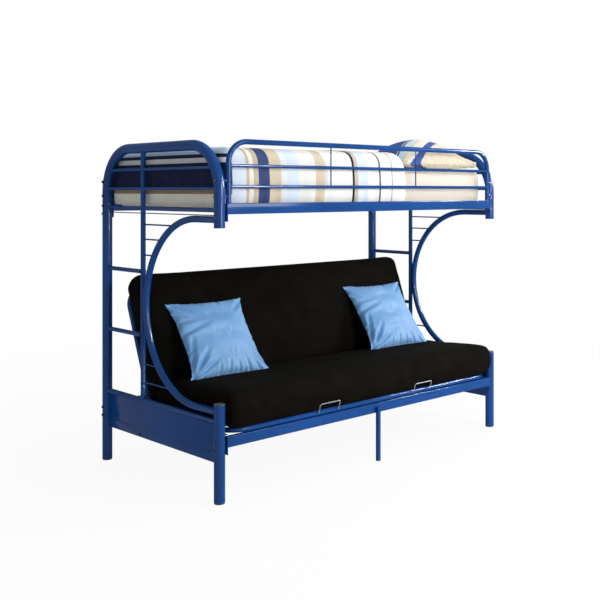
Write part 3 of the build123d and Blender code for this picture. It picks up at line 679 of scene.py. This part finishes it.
# ---------------------------------------------------------------- Futon seat
# A closed loop of 25 mm tube with two stiffening rods and a wire mesh slides on the tracks.
# Notched straps and pins at its rear corners carry the back.

pivot_y, pivot_z = 0.16815, 0.3157
lean_y, lean_z = 0.39394, 0.91914
seat_half, back_half = 0.9213, 0.9153
seat_l, back_l = 0.675, 0.63
hinge_s = 0.045
front_bend, hinge_bend = 0.1, 0.04
stiffener_r = 0.006
stiffener_drop = 0.0063


def on_seat(across, along, up):
    """A place on the seat's deck: along runs forwards from the hinge line."""
    return Vector((across, pivot_y - along, pivot_z + up))


def on_back(across, along, up):
    """A place on the back's deck: along runs up from the hinge line, up out of the deck."""
    y, z = lean_y * along - lean_z * up, lean_z * along + lean_y * up
    return Vector((across, pivot_y + y, pivot_z + z))


wires_across, wires_along = 13, 6
first_wire = 0.08
wire_up, cross_wire_up = 0.0083, 0.003
halves = (("seat", on_seat, seat_half, seat_l), ("back", on_back, back_half, back_l))
for body, at, half, length in halves:
    loop = begin(f"{body}_tube_loop")
    start = at(0, length, 0)
    corners = [at(half, length, 0), at(half, hinge_s, 0), at(-half, hinge_s, 0), at(-half, length, 0)]
    bends = (front_bend, hinge_bend, hinge_bend, front_bend)
    bent_tube([start, *corners, start], bends, tube_r, tube_sides)
    bpy.ops.mesh.select_all(action="SELECT")
    bpy.ops.mesh.remove_doubles(threshold=near / 5)
    enamelled(loop, f"{body}_frame", f"futon_{body}")

    # Two rods stiffen it under the mesh, which stays clear of its bends
    rods = begin(f"{body}_stiffening_rods")
    for across in (-half / 3, half / 3):
        first, last = at(across, hinge_s, -stiffener_drop), at(across, length, -stiffener_drop)
        rod(first, last, stiffener_r, rod_sides)
    enamelled(rods, f"{body}_cross_rods", f"futon_{body}")
    wires = begin(f"{body}_wire_mesh")
    across = spread(front_bend - half, half - front_bend, wires_across)
    along = spread(hinge_s + first_wire, length - front_bend, wires_along)
    mesh_of_wires(across, along, half - tube_r / 2, hinge_s, length, wire_up, cross_wire_up, at)
    close_piece(wires, f"futon_{body}", f"{body}_mesh", wire_paint)

dress(enamel, "seat_hinge_plates", "back_hinge_plates")
dress(black_zinc, "hinge_pins")

# Polyamide strip, cut from extruded bar: milky white and waxy, a little light goes into it,
# and sliding on the track has scuffed it along the bed's depth.
nylon = bare("white_polyamide_strip")
scuff = mottle(nylon, 1.0, 3.0, (400.0, 12.0, 400.0))
surface(
    nylon,
    {"IOR": 1.53, "Roughness": 0.42, "Subsurface Weight": 0.1, "Subsurface Scale": 0.002},
    {"Base Color": two_tone(nylon, scuff, "#CFCEC6", "#ECEBE4")},
)
dress(nylon, "seat_glides")

# Retainers: two hoops of 6 mm wire that stand up from the seat's front tube, leaning out,
# and keep the mattress from creeping over the rail.
retainer_r = 0.003
retainer_x, retainer_half = 0.3381, 0.065
retainer_root, retainer_out, retainer_rise = -0.52285, 0.015, 0.046
retainer_bend = 0.009
retainers = begin("wire_retainers")
for x in (-retainer_x, retainer_x):
    low, high = (retainer_root, pivot_z), (retainer_root - retainer_out, pivot_z + retainer_rise)
    left, right = x - retainer_half, x + retainer_half
    hoop = [(left, *low), (left, *high), (right, *high), (right, *low)]
    bent_tube(hoop, (retainer_bend, retainer_bend), retainer_r, rod_sides)
close_piece(retainers, "futon_seat", "mattress_retainers", wire_paint)

# ------------------------------------------------------------ Futon mattress
# A cotton and foam mattress in a black twill cover, in two halves that meet over the hinge. The
# cover is cut a little large and stuffed tight: its faces crown, its edges are soft and round.


def soft_copy(solid, name, voxel):
    """A copy of a plain solid, remeshed evenly so that cloth can be worked on it."""
    bpy.ops.object.select_all(action="DESELECT")
    piece = bpy.data.objects.new(name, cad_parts[solid].data.copy())
    bpy.context.scene.collection.objects.link(piece)
    bpy.context.view_layer.objects.active = piece
    piece.select_set(True)
    piece.data.name = name
    bpy.ops.object.mode_set(mode="EDIT")
    bpy.ops.mesh.select_all(action="SELECT")
    bpy.ops.mesh.remove_doubles(threshold=near / 50)
    bpy.ops.object.mode_set(mode="OBJECT")
    worked(piece, "even", "REMESH", mode="VOXEL", voxel_size=voxel)
    worked(piece, "relax", "SMOOTH", factor=0.5, iterations=4)
    return piece


stuffing_frames = 16


def stuff(piece, pressure, slack, cap):
    """Blows the cover up over its filling. slack is spare cloth, cap how far a point may move."""
    rest = [point.co.copy() for point in piece.data.vertices]
    cloth = piece.modifiers.new("cover", "CLOTH")
    cloth.settings.quality = 4
    cloth.settings.use_pressure = True
    cloth.settings.uniform_pressure_force = pressure
    cloth.settings.effector_weights.gravity = 0
    cloth.settings.shrink_min = -slack
    cloth.settings.tension_stiffness = 15
    cloth.settings.bending_stiffness = 0.5
    cloth.collision_settings.use_collision = False
    for step in range(1, stuffing_frames + 1):
        bpy.context.scene.frame_set(step)
    bpy.ops.object.modifier_apply(modifier=cloth.name)
    for point, start in zip(piece.data.vertices, rest):
        move = point.co - start
        if move.length > 0:
            point.co = start + move * (cap / (cap + move.length))
    bpy.context.scene.frame_set(1)


def finish_soft(piece, levels):
    """Rounds a stuffed cover off, where levels asks for it, and smooths its shading."""
    if levels:
        worked(piece, "finer", "SUBSURF", levels=levels, render_levels=levels)
    bpy.ops.object.shade_smooth()


def cover(piece, cloth, body, solid):
    """Dresses a soft piece in its cloth, hangs it on the body it rides on and hides the solid it stands
    in for.
    """
    piece.data.materials.clear()
    piece.data.materials.append(cloth)
    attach(piece, body)
    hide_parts(solid)


def clamp(value):
    """A share kept between nought and one."""
    return min(max(value, 0.0), 1.0)


def ripple(run, pitch, stray=0.0, stray_pitch=1.0):
    """A wave along a run, whose crests can stray to either side of their even places."""
    return sin(2 * pi * run / pitch + stray * sin(2 * pi * run / stray_pitch))


tuft_reach = 3


def dimple(piece, points, deep, wide):
    """Pulls a cover in round stitched tufts, each a place and the direction it is pulled."""
    for vertex in piece.data.vertices:
        for point, inward in points:
            near_tuft = (vertex.co - point).length / wide
            if near_tuft < tuft_reach:
                vertex.co += inward * deep / (1 + near_tuft**2) ** 2


# Cotton twill dyed black: nearly no light comes back, and it stays matt at every angle.
# The rib of the twill runs on the bias, and lint and handling leave the black a little cloudy.
twill = bare("black_cotton_twill")
rib_pitch = 0.005  # real ribs are about 1 mm apart; drawn coarser so that they show
rib_turn = (0.0, radians(45), radians(35))
place = node(twill, "ShaderNodeTexCoord", {}, {})
rib_map = node(twill, "ShaderNodeMapping", {"Rotation": rib_turn}, {"Vector": place.outputs["Object"]})
rib = node(
    twill,
    "ShaderNodeTexWave",
    {"Scale": 1 / rib_pitch / 3.2, "Distortion": 0.6, "Detail": 2.0},
    {"Vector": rib_map.outputs["Vector"]},
)
surface(
    twill,
    {"Roughness": 0.92, "IOR": 1.3, "Specular IOR Level": 0.03},
    {
        "Base Color": two_tone(twill, mottle(twill, 9.0, 5.0), "#0D0C0A", "#15130F", 0.3, 0.75),
        "Normal": relief(twill, rib.outputs["Fac"], 0.35, 0.0006),
    },
)

# Three tufts tie each half. Over the retainers the seat's lower front edge sags on its tube.
futon_grain = 0.015
futon_top, tuft_share = 0.1782, 0.55
tuft_xs = (-0.62, 0.0, 0.62)
tuft_deep, tuft_wide = 0.009, 0.03
nose_run, nose_y, nose_z, nose_sag = 0.12, -0.49, 0.36, 0.006
for body, at, _, length in halves:
    mattress = soft_copy(f"futon_{body}_mattress", f"{body}_futon_cushion", futon_grain)
    stuff(mattress, 4.0, 0.01, 0.012)
    inward = at(0, 0, 0) - at(0, 0, 1)
    tufts = [(at(x, length * tuft_share, futon_top), inward) for x in tuft_xs]
    dimple(mattress, tufts, tuft_deep, tuft_wide)
    if body == "seat":
        for vertex in mattress.data.vertices:
            spot = vertex.co
            beside = 1 - ((abs(spot.x) - retainer_x) / nose_run) ** 2
            if beside > 0 and spot.y < nose_y and spot.z < nose_z:
                spot.z -= nose_sag * beside
    finish_soft(mattress, 1)
    cover(mattress, twill, f"futon_{body}", f"futon_{body}_mattress")

# -------------------------------------------------------------- Throw pillows
# Two square cushions lean on the futon's back, each standing on one edge. Sky-blue cotton
# sateen over loose fibre: the covers are a little large, so they pucker along their seams.
sateen = bare("sky_blue_cotton_sateen")
thread_pitch = 0.004  # real threads are 0.3 mm apart; drawn as slubs coarse enough to show
slub = mottle(sateen, 0.25 / thread_pitch, 4.0, (1.0, 6.0, 6.0))
surface(
    sateen,
    {
        "Roughness": 0.62,
        "IOR": 1.4,
        "Specular IOR Level": 0.2,
        "Sheen Weight": 0.08,
        "Sheen Roughness": 0.35,
    },
    {
        "Base Color": two_tone(sateen, mottle(sateen, 7.0, 3.0), "#6EA6DF", "#85B9EB", 0.3, 0.7),
        "Normal": relief(sateen, slub, 0.2, 0.0006),
    },
)

# Creases of a cushion's face, as shares of its half side from its middle: where each starts,
# where it dies out, how deep and how wide it is. Most gather in the lower corner at the foot.
cushion_half, cushion_x, cushion_y, cushion_z = 0.2235, 0.6107, 0.0338, 0.6529
cushion_right = Vector((0.99863, -0.05234, 0.0))
cushion_up = Vector((0.03222, 0.61482, 0.78801))
cushion_out = Vector((-0.04124, -0.78693, 0.61566))
cushion_creases = (
    (-0.97, -0.97, -0.25, -0.62, 0.017, 0.0128),
    (-0.97, -0.95, -0.42, -0.3, 0.0187, 0.0136),
    (-0.98, -0.92, -0.72, 0.05, 0.0153, 0.012),
    (-0.98, 0.12, -0.2, 0.3, 0.0136, 0.016),
    (-0.98, 0.45, -0.62, 0.4, 0.0102, 0.0096),
    (-0.98, 0.72, -0.66, 0.55, 0.0102, 0.0096),
    (-0.98, -0.35, -0.7, -0.28, 0.0102, 0.0088),
    (-0.35, -0.98, -0.28, -0.72, 0.0102, 0.008),
    (-0.08, -0.98, -0.02, -0.66, 0.0102, 0.0088),
    (0.2, -0.98, 0.18, -0.72, 0.0102, 0.008),
    (0.47, -0.98, 0.4, -0.64, 0.0102, 0.0096),
    (0.74, -0.98, 0.62, -0.74, 0.0085, 0.008),
    (0.96, -0.96, 0.55, -0.5, 0.0102, 0.0128),
    (0.97, 0.95, 0.52, 0.58, 0.0119, 0.0144),
    (-0.95, 0.96, -0.5, 0.62, 0.0119, 0.0144),
    (0.98, 0.3, 0.72, 0.24, 0.0068, 0.0096),
    (0.98, -0.2, 0.74, -0.22, 0.0068, 0.0096),
    (-0.3, 0.97, -0.24, 0.72, 0.0068, 0.0112),
    (0.25, 0.97, 0.2, 0.74, 0.0068, 0.0112),
)
crease_reach, crease_fade = 4, 0.7
face_depth = 0.012
cushion_sag, cushion_hollow = 0.012, 0.005
upper_ear, lower_ear = 0.002, 0.011
scallop, scallop_pitch = 0.0022, 0.034
ear_power, seam_power = 5, 10


def crumple(piece, middle):
    """Presses the creases into a cushion's outward face, and shapes its outline: standing
    corners, a sagging top edge, hollow sides and small puckers along every seam."""
    for vertex in piece.data.vertices:
        spot = vertex.co - middle
        across, up = spot.dot(cushion_right) / cushion_half, spot.dot(cushion_up) / cushion_half
        sink = 0.0
        for from_x, from_y, to_x, to_y, deep, wide in cushion_creases:
            run_x, run_y = to_x - from_x, to_y - from_y
            share = clamp(((across - from_x) * run_x + (up - from_y) * run_y) / (run_x**2 + run_y**2))
            off = ((across - from_x - share * run_x) ** 2 + (up - from_y - share * run_y) ** 2) ** 0.5
            off *= cushion_half / wide
            if off < crease_reach:
                sink += deep * (1 - share) ** crease_fade * (1 - off**2) * exp(-(off**2) / 2)
        vertex.co -= cushion_out * sink * clamp(spot.dot(cushion_out) / face_depth)
        ear = upper_ear if up > 0 else lower_ear
        corner = min(abs(across * up), 1.0) ** ear_power
        vertex.co += (cushion_right * across + cushion_up * up) * ear * corner
        if up > 0:
            vertex.co -= cushion_up * cushion_sag * up**2 * max(0.0, 1 - across**2)
        vertex.co -= cushion_right * cushion_hollow * across**3 * max(0.0, 1 - up**2)
        at_side, at_end = min(abs(across), 1.0) ** seam_power, min(abs(up), 1.0) ** seam_power
        vertex.co += cushion_right * scallop * at_side * ripple(up * cushion_half, scallop_pitch)
        vertex.co += cushion_up * scallop * at_end * ripple(across * cushion_half, scallop_pitch)


cushion_grain = 0.0055
for side, side_sign in (("left", -1), ("right", 1)):
    pillow = soft_copy(f"{side}_throw_pillow", f"{side}_blue_cushion", cushion_grain)
    stuff(pillow, 3.0, 0.05, 0.014)
    crumple(pillow, Vector((side_sign * cushion_x, cushion_y, cushion_z)))
    finish_soft(pillow, 1)
    cover(pillow, sateen, "futon_back", f"{side}_throw_pillow")

# ------------------------------------------------------------- Upper mattress
# A foam mattress in ivory cotton ticking lies on the deck's mesh. Its faces run over into a
# plain side band, without a taped edge.
ticking = bare("ivory_cotton_ticking")
tick_pitch = 0.006  # real threads are under 1 mm apart; drawn coarser so that they show
surface(
    ticking,
    {"Roughness": 0.85, "IOR": 1.4, "Specular IOR Level": 0.1, "Sheen Weight": 0.03},
    {
        "Base Color": two_tone(ticking, mottle(ticking, 5.0, 4.0), "#E2D9C9", "#EAE1D3", 0.3, 0.7),
        "Normal": relief(ticking, mottle(ticking, 1 / tick_pitch, 2.0), 0.2, 0.0008),
    },
)

mattress_grain = 0.015
mattress = soft_copy("upper_mattress", "ivory_mattress", mattress_grain)
stuff(mattress, 1.0, 0.0, 0.002)
finish_soft(mattress, 1)
cover(mattress, ticking, "bed_frame", "upper_mattress")

# ------------------------------------------------------------------ Comforter
# A quilt of striped cotton is drawn over the foot of the mattress and down its sides. The
# stripes cross the bed, so they run down the sides and, past the foot, down the end. Each
# stripe is given by where it starts, and it runs to the next.
stripe_run = (-1.2, 0.3)
stripes = (
    (-1.2, "#F8F5E6"),
    (-1.105, "#A08C6E"),
    (-1.08, "#1B2443"),
    (-0.956, "#E2E4E3"),
    (-0.936, "#1B2443"),
    (-0.913, "#B9D3E4"),
    (-0.885, "#DFE9F6"),
    (-0.812, "#CDBDA4"),
    (-0.795, "#F5F3EC"),
    (-0.769, "#CDBDA4"),
    (-0.74, "#37497A"),
    (-0.674, "#DACAB0"),
    (-0.604, "#E6EDF0"),
    (-0.571, "#DCE8F4"),
    (-0.493, "#EEEFE8"),
    (-0.391, "#DBCEB4"),
    (-0.33, "#F3F3EF"),
    (-0.142, "#20263A"),
    (-0.128, "#CFC3AE"),
    (-0.11, "#DCE9F5"),
    (-0.034, "#F4F2EC"),
    (0.044, "#50556A"),
    (0.054, "#F4F2EB"),
    (0.141, "#9A9A96"),
    (0.147, "#F4F2EB"),
)


def striped_cloth(name, bands, first, last, foot_x, foot_z, turn=0.0):
    """Cotton percale printed in bands across the bed. Past foot_x the bands run on down."""
    made = bare(name)
    spot = node(made, "ShaderNodeTexCoord", {}, {}).outputs["Object"]
    turned = node(made, "ShaderNodeMapping", {"Rotation": (0.0, 0.0, turn)}, {"Vector": spot})
    split = node(made, "ShaderNodeSeparateXYZ", {}, {"Vector": turned.outputs["Vector"]})
    level, up = split.outputs["X"], split.outputs["Z"]
    drop = node(made, "ShaderNodeMath", {"operation": "ADD", 1: foot_x - foot_z}, {0: up})
    beyond = node(made, "ShaderNodeMath", {"operation": "LESS_THAN", 1: foot_x}, {0: level})
    ways = {"Factor": beyond.outputs["Value"], "A": level, "B": drop.outputs["Value"]}
    run = node(made, "ShaderNodeMix", {}, ways).outputs["Result"]
    ramp = node(made, "ShaderNodeValToRGB", {}, {"Fac": remap(made, run, 0.0, 1.0, first, last)})
    ramp.color_ramp.interpolation = "CONSTANT"
    points = ramp.color_ramp.elements
    points.remove(points[1])
    points[0].position = 0.0
    points[0].color = linear(bands[0][1])
    for start, colour in bands[1:]:
        points.new((start - first) / (last - first)).color = linear(colour)
    worn = remap(made, mottle(made, 6.0, 4.0), 0.93, 1.05)
    tinted = node(
        made,
        "ShaderNodeMix",
        {"data_type": "RGBA", "blend_type": "MULTIPLY", "Factor": 1.0},
        {6: ramp.outputs["Color"], 7: worn},
    )
    weave_pitch = 0.005  # real threads are 0.3 mm apart; drawn coarser so that they show
    creased = relief(made, mottle(made, 16.0, 3.0), 0.25, 0.004)
    woven = relief(made, mottle(made, 1 / weave_pitch, 2.0), 0.15, 0.0005, creased)
    surface(
        made,
        {"Roughness": 0.8, "IOR": 1.4, "Specular IOR Level": 0.1, "Sheen Weight": 0.03},
        {"Base Color": tinted.outputs[2], "Normal": woven},
    )
    return made


foot_turn = (-0.885, 1.612)
quilt_cloth = striped_cloth("striped_cotton_percale", stripes, *stripe_run, *foot_turn)
quilt_grain = 0.0095
comforter = soft_copy("comforter", "striped_comforter", quilt_grain)
stuff(comforter, 1.5, 0.03, 0.004)

# Hung over the edge, the quilt falls in shallow folds that deepen towards its hem, and its
# rear foot corner is bunched out square.
fold_start, hem = 1.52, 1.36
fold_deep, fold_pitch, fold_stray, fold_stray_pitch = 0.0026, 0.105, 1.6, 0.37
side_front, side_rear = -0.46, 0.485
corner_x, corner_y, corner_run, corner_out = -0.88, 0.40, 0.05, 0.02
for vertex in comforter.data.vertices:
    spot = vertex.co
    hang = clamp((fold_start - spot.z) / (fold_start - hem))
    wave = ripple(spot.x, fold_pitch, fold_stray, fold_stray_pitch)
    if spot.y < side_front:
        spot.y += fold_deep * hang * wave
    elif spot.x < corner_x - corner_run / 2:
        spot.x += fold_deep * hang * ripple(spot.y, fold_pitch)
    if spot.x < corner_x and spot.y > corner_y:
        beyond_x = min((corner_x - spot.x) / corner_run, 1.0)
        beyond_y = min((spot.y - corner_y) / (side_rear - corner_y), 1.0)
        spot.y += corner_out * beyond_x * beyond_y
finish_soft(comforter, 0)
cover(comforter, quilt_cloth, "bed_frame", "comforter")

# ----------------------------------------------------------------- Bed pillow
# One pillow in a matching sham lies at the head of the upper bunk. Its stripes run aslant to
# the comforter's.
sham_run, sham_turn = (0.25, 0.75), radians(68)
sham_stripes = (
    (0.25, "#3D5690"),
    (0.424, "#E4E6E8"),
    (0.431, "#22305F"),
    (0.442, "#C6DCE6"),
    (0.486, "#D8CDB2"),
    (0.498, "#E9E3D2"),
    (0.545, "#3A5699"),
    (0.578, "#DCD0B8"),
)
no_foot = (-2.0, 0.0)  # past the end of the bed, so that no band turns down
sham_cloth = striped_cloth("striped_sham_percale", sham_stripes, *sham_run, *no_foot, sham_turn)
pillow_grain = 0.0065
bed_pillow = soft_copy("bed_pillow", "striped_bed_pillow", pillow_grain)
stuff(bed_pillow, 3.0, 0.03, 0.012)

# Its own weight flattens the underside on the mattress, so the seam comes down to just above
# it. The seam's front run is puckered in short waves, and the end at the bed's head is blunt.
bed_pillow_middle = Vector((0.58, -0.24415, 1.6211))
bed_pillow_half = Vector((0.295, 0.225, 0.085))
seam_lift, seam_wave, seam_pitch, seam_stray, seam_stray_pitch = 0.022, 0.005, 0.042, 2, 0.19
side_share, wave_power = 0.9, 6
head_blunt = 0.35
for vertex in bed_pillow.data.vertices:
    spot = vertex.co - bed_pillow_middle
    share_x, share_y = (min(abs(a / b), 1.0) for a, b in zip(spot.xy, bed_pillow_half.xy))
    full = (1 - share_x**2) * (1 - side_share * share_y**3)
    blunt = 1 - head_blunt * share_x**3 if spot.z > 0 and spot.x > 0 else 1.0
    vertex.co.z -= (bed_pillow_half.z - seam_lift) * (1 - full) * blunt
    if spot.y < 0:
        pucker = seam_wave * share_y**wave_power
        vertex.co.z += pucker * ripple(spot.x, seam_pitch, seam_stray, seam_stray_pitch)
finish_soft(bed_pillow, 1)
cover(bed_pillow, sham_cloth, "bed_frame", "bed_pillow")

# -------------------------------------------------------------------- Studio
# A pale floor, a white room and six soft lamps, with the camera where the photograph
# was taken from: level, at chest height, well off to the left of the bed.
white = {"Color": (1.0, 1.0, 1.0, 1.0)}


def seen_share(owner):
    """One where it is looked at, mirrored or seen through, and nought where it only gives light."""
    rays = node(owner, "ShaderNodeLightPath", {}, {})
    share = rays.outputs["Is Camera Ray"]
    for way in ("Is Glossy Ray", "Is Transmission Ray"):
        either_way = {0: share, 1: rays.outputs[way]}
        share = node(owner, "ShaderNodeMath", {"operation": "MAXIMUM"}, either_way).outputs["Value"]
    return share


def either(owner, share, lighting, shown):
    """Mixes the shader that gives light with the one that is seen."""
    return node(owner, "ShaderNodeMixShader", {}, {0: share, 1: lighting, 2: shown}).outputs["Shader"]


# Looked at, the floor is painted nearly white under the bed and fades to white round it.
floor_paint = bare("pale_studio_floor")
floor_tone = two_tone(floor_paint, mottle(floor_paint, 2.0, 2.0), "#F4F4F4", "#FAFAFA")
tinted = {"Base Color": floor_tone}
floor_matt = node(floor_paint, "ShaderNodeBsdfPrincipled", {"Roughness": 0.9}, tinted).outputs["BSDF"]
floor_white = node(floor_paint, "ShaderNodeEmission", white, {}).outputs["Emission"]
place = node(floor_paint, "ShaderNodeTexCoord", {}, {})
middle = {0: place.outputs["Object"]}
reach = node(floor_paint, "ShaderNodeVectorMath", {"operation": "LENGTH"}, middle)
fade = remap(floor_paint, reach.outputs["Value"], 0.93, 1.0, 1.2, 5.0)
shares = {0: seen_share(floor_paint), 1: fade}
white_share = node(floor_paint, "ShaderNodeMath", {"operation": "MULTIPLY"}, shares).outputs["Value"]
floor_shader = either(floor_paint, white_share, floor_matt, floor_white)
node(floor_paint, "ShaderNodeOutputMaterial", {}, {"Surface": floor_shader})

floor_size, floor_z = 60, -0.0005
bpy.ops.object.select_all(action="DESELECT")
bpy.ops.mesh.primitive_plane_add(size=floor_size, location=(0, 0, floor_z))
studio_floor = bpy.context.object
studio_floor.name = "studio_floor"
studio_floor.data.materials.append(floor_paint)

room = bare("white_room", "worlds")
bpy.context.scene.world = room
room_white = node(room, "ShaderNodeBackground", {**white, "Strength": 1.0}, {})
room_light = node(room, "ShaderNodeBackground", {**white, "Strength": 0.3}, {})
room_shader = either(room, seen_share(room), room_light.outputs[0], room_white.outputs[0])
node(room, "ShaderNodeOutputWorld", {}, {"Surface": room_shader})

# Each lamp: name, place, width, height, power, whether it lights, whether it is mirrored
lamps = (
    ("key_softbox", (1.2, -4.8, 2.4), 1.5, 1.5, 130, True, True),
    ("side_softbox", (4.5, -2.9, 2.7), 1.3, 1.3, 90, True, False),
    ("edge_softbox", (4.4, -2.6, 2.9), 1.3, 1.3, 900, False, True),
    ("streak_softbox", (0.1, -4.8, 1.6), 0.3, 2.0, 240, False, True),
    ("fill_softbox", (-3.8, -1.6, 2.6), 1.2, 1.2, 3, True, False),
    ("top_softbox", (0.6, -0.4, 4.4), 3.0, 3.0, 62, True, False),
)
aim = Vector((0, 0, 0.8))
for name, where, width, height, power, lights, mirrored in lamps:
    lamp_data = bpy.data.lights.new(name, "AREA")
    lamp_data.shape = "RECTANGLE"
    lamp_data.size = width
    lamp_data.size_y = height
    lamp_data.energy = power
    lamp = bpy.data.objects.new(name, lamp_data)
    lamp.location = where
    lamp.visible_diffuse = lights
    lamp.visible_glossy = mirrored
    lamp.rotation_euler = (aim - Vector(where)).to_track_quat("-Z", "Y").to_euler()
    bpy.context.scene.collection.objects.link(lamp)

lens = bpy.data.cameras.new("chest_height_camera")
lens.sensor_width = 36
lens.lens = 56.37
lens.shift_x = -0.184
lens.shift_y = -0.183
camera = bpy.data.objects.new("chest_height_camera", lens)
camera.location = (-3.4286, -4.0527, 1.4147)
camera.rotation_euler = (radians(90), 0, radians(-46.18))
bpy.context.scene.collection.objects.link(camera)
bpy.context.scene.camera = camera
bpy.context.scene.view_settings.view_transform = "Standard"
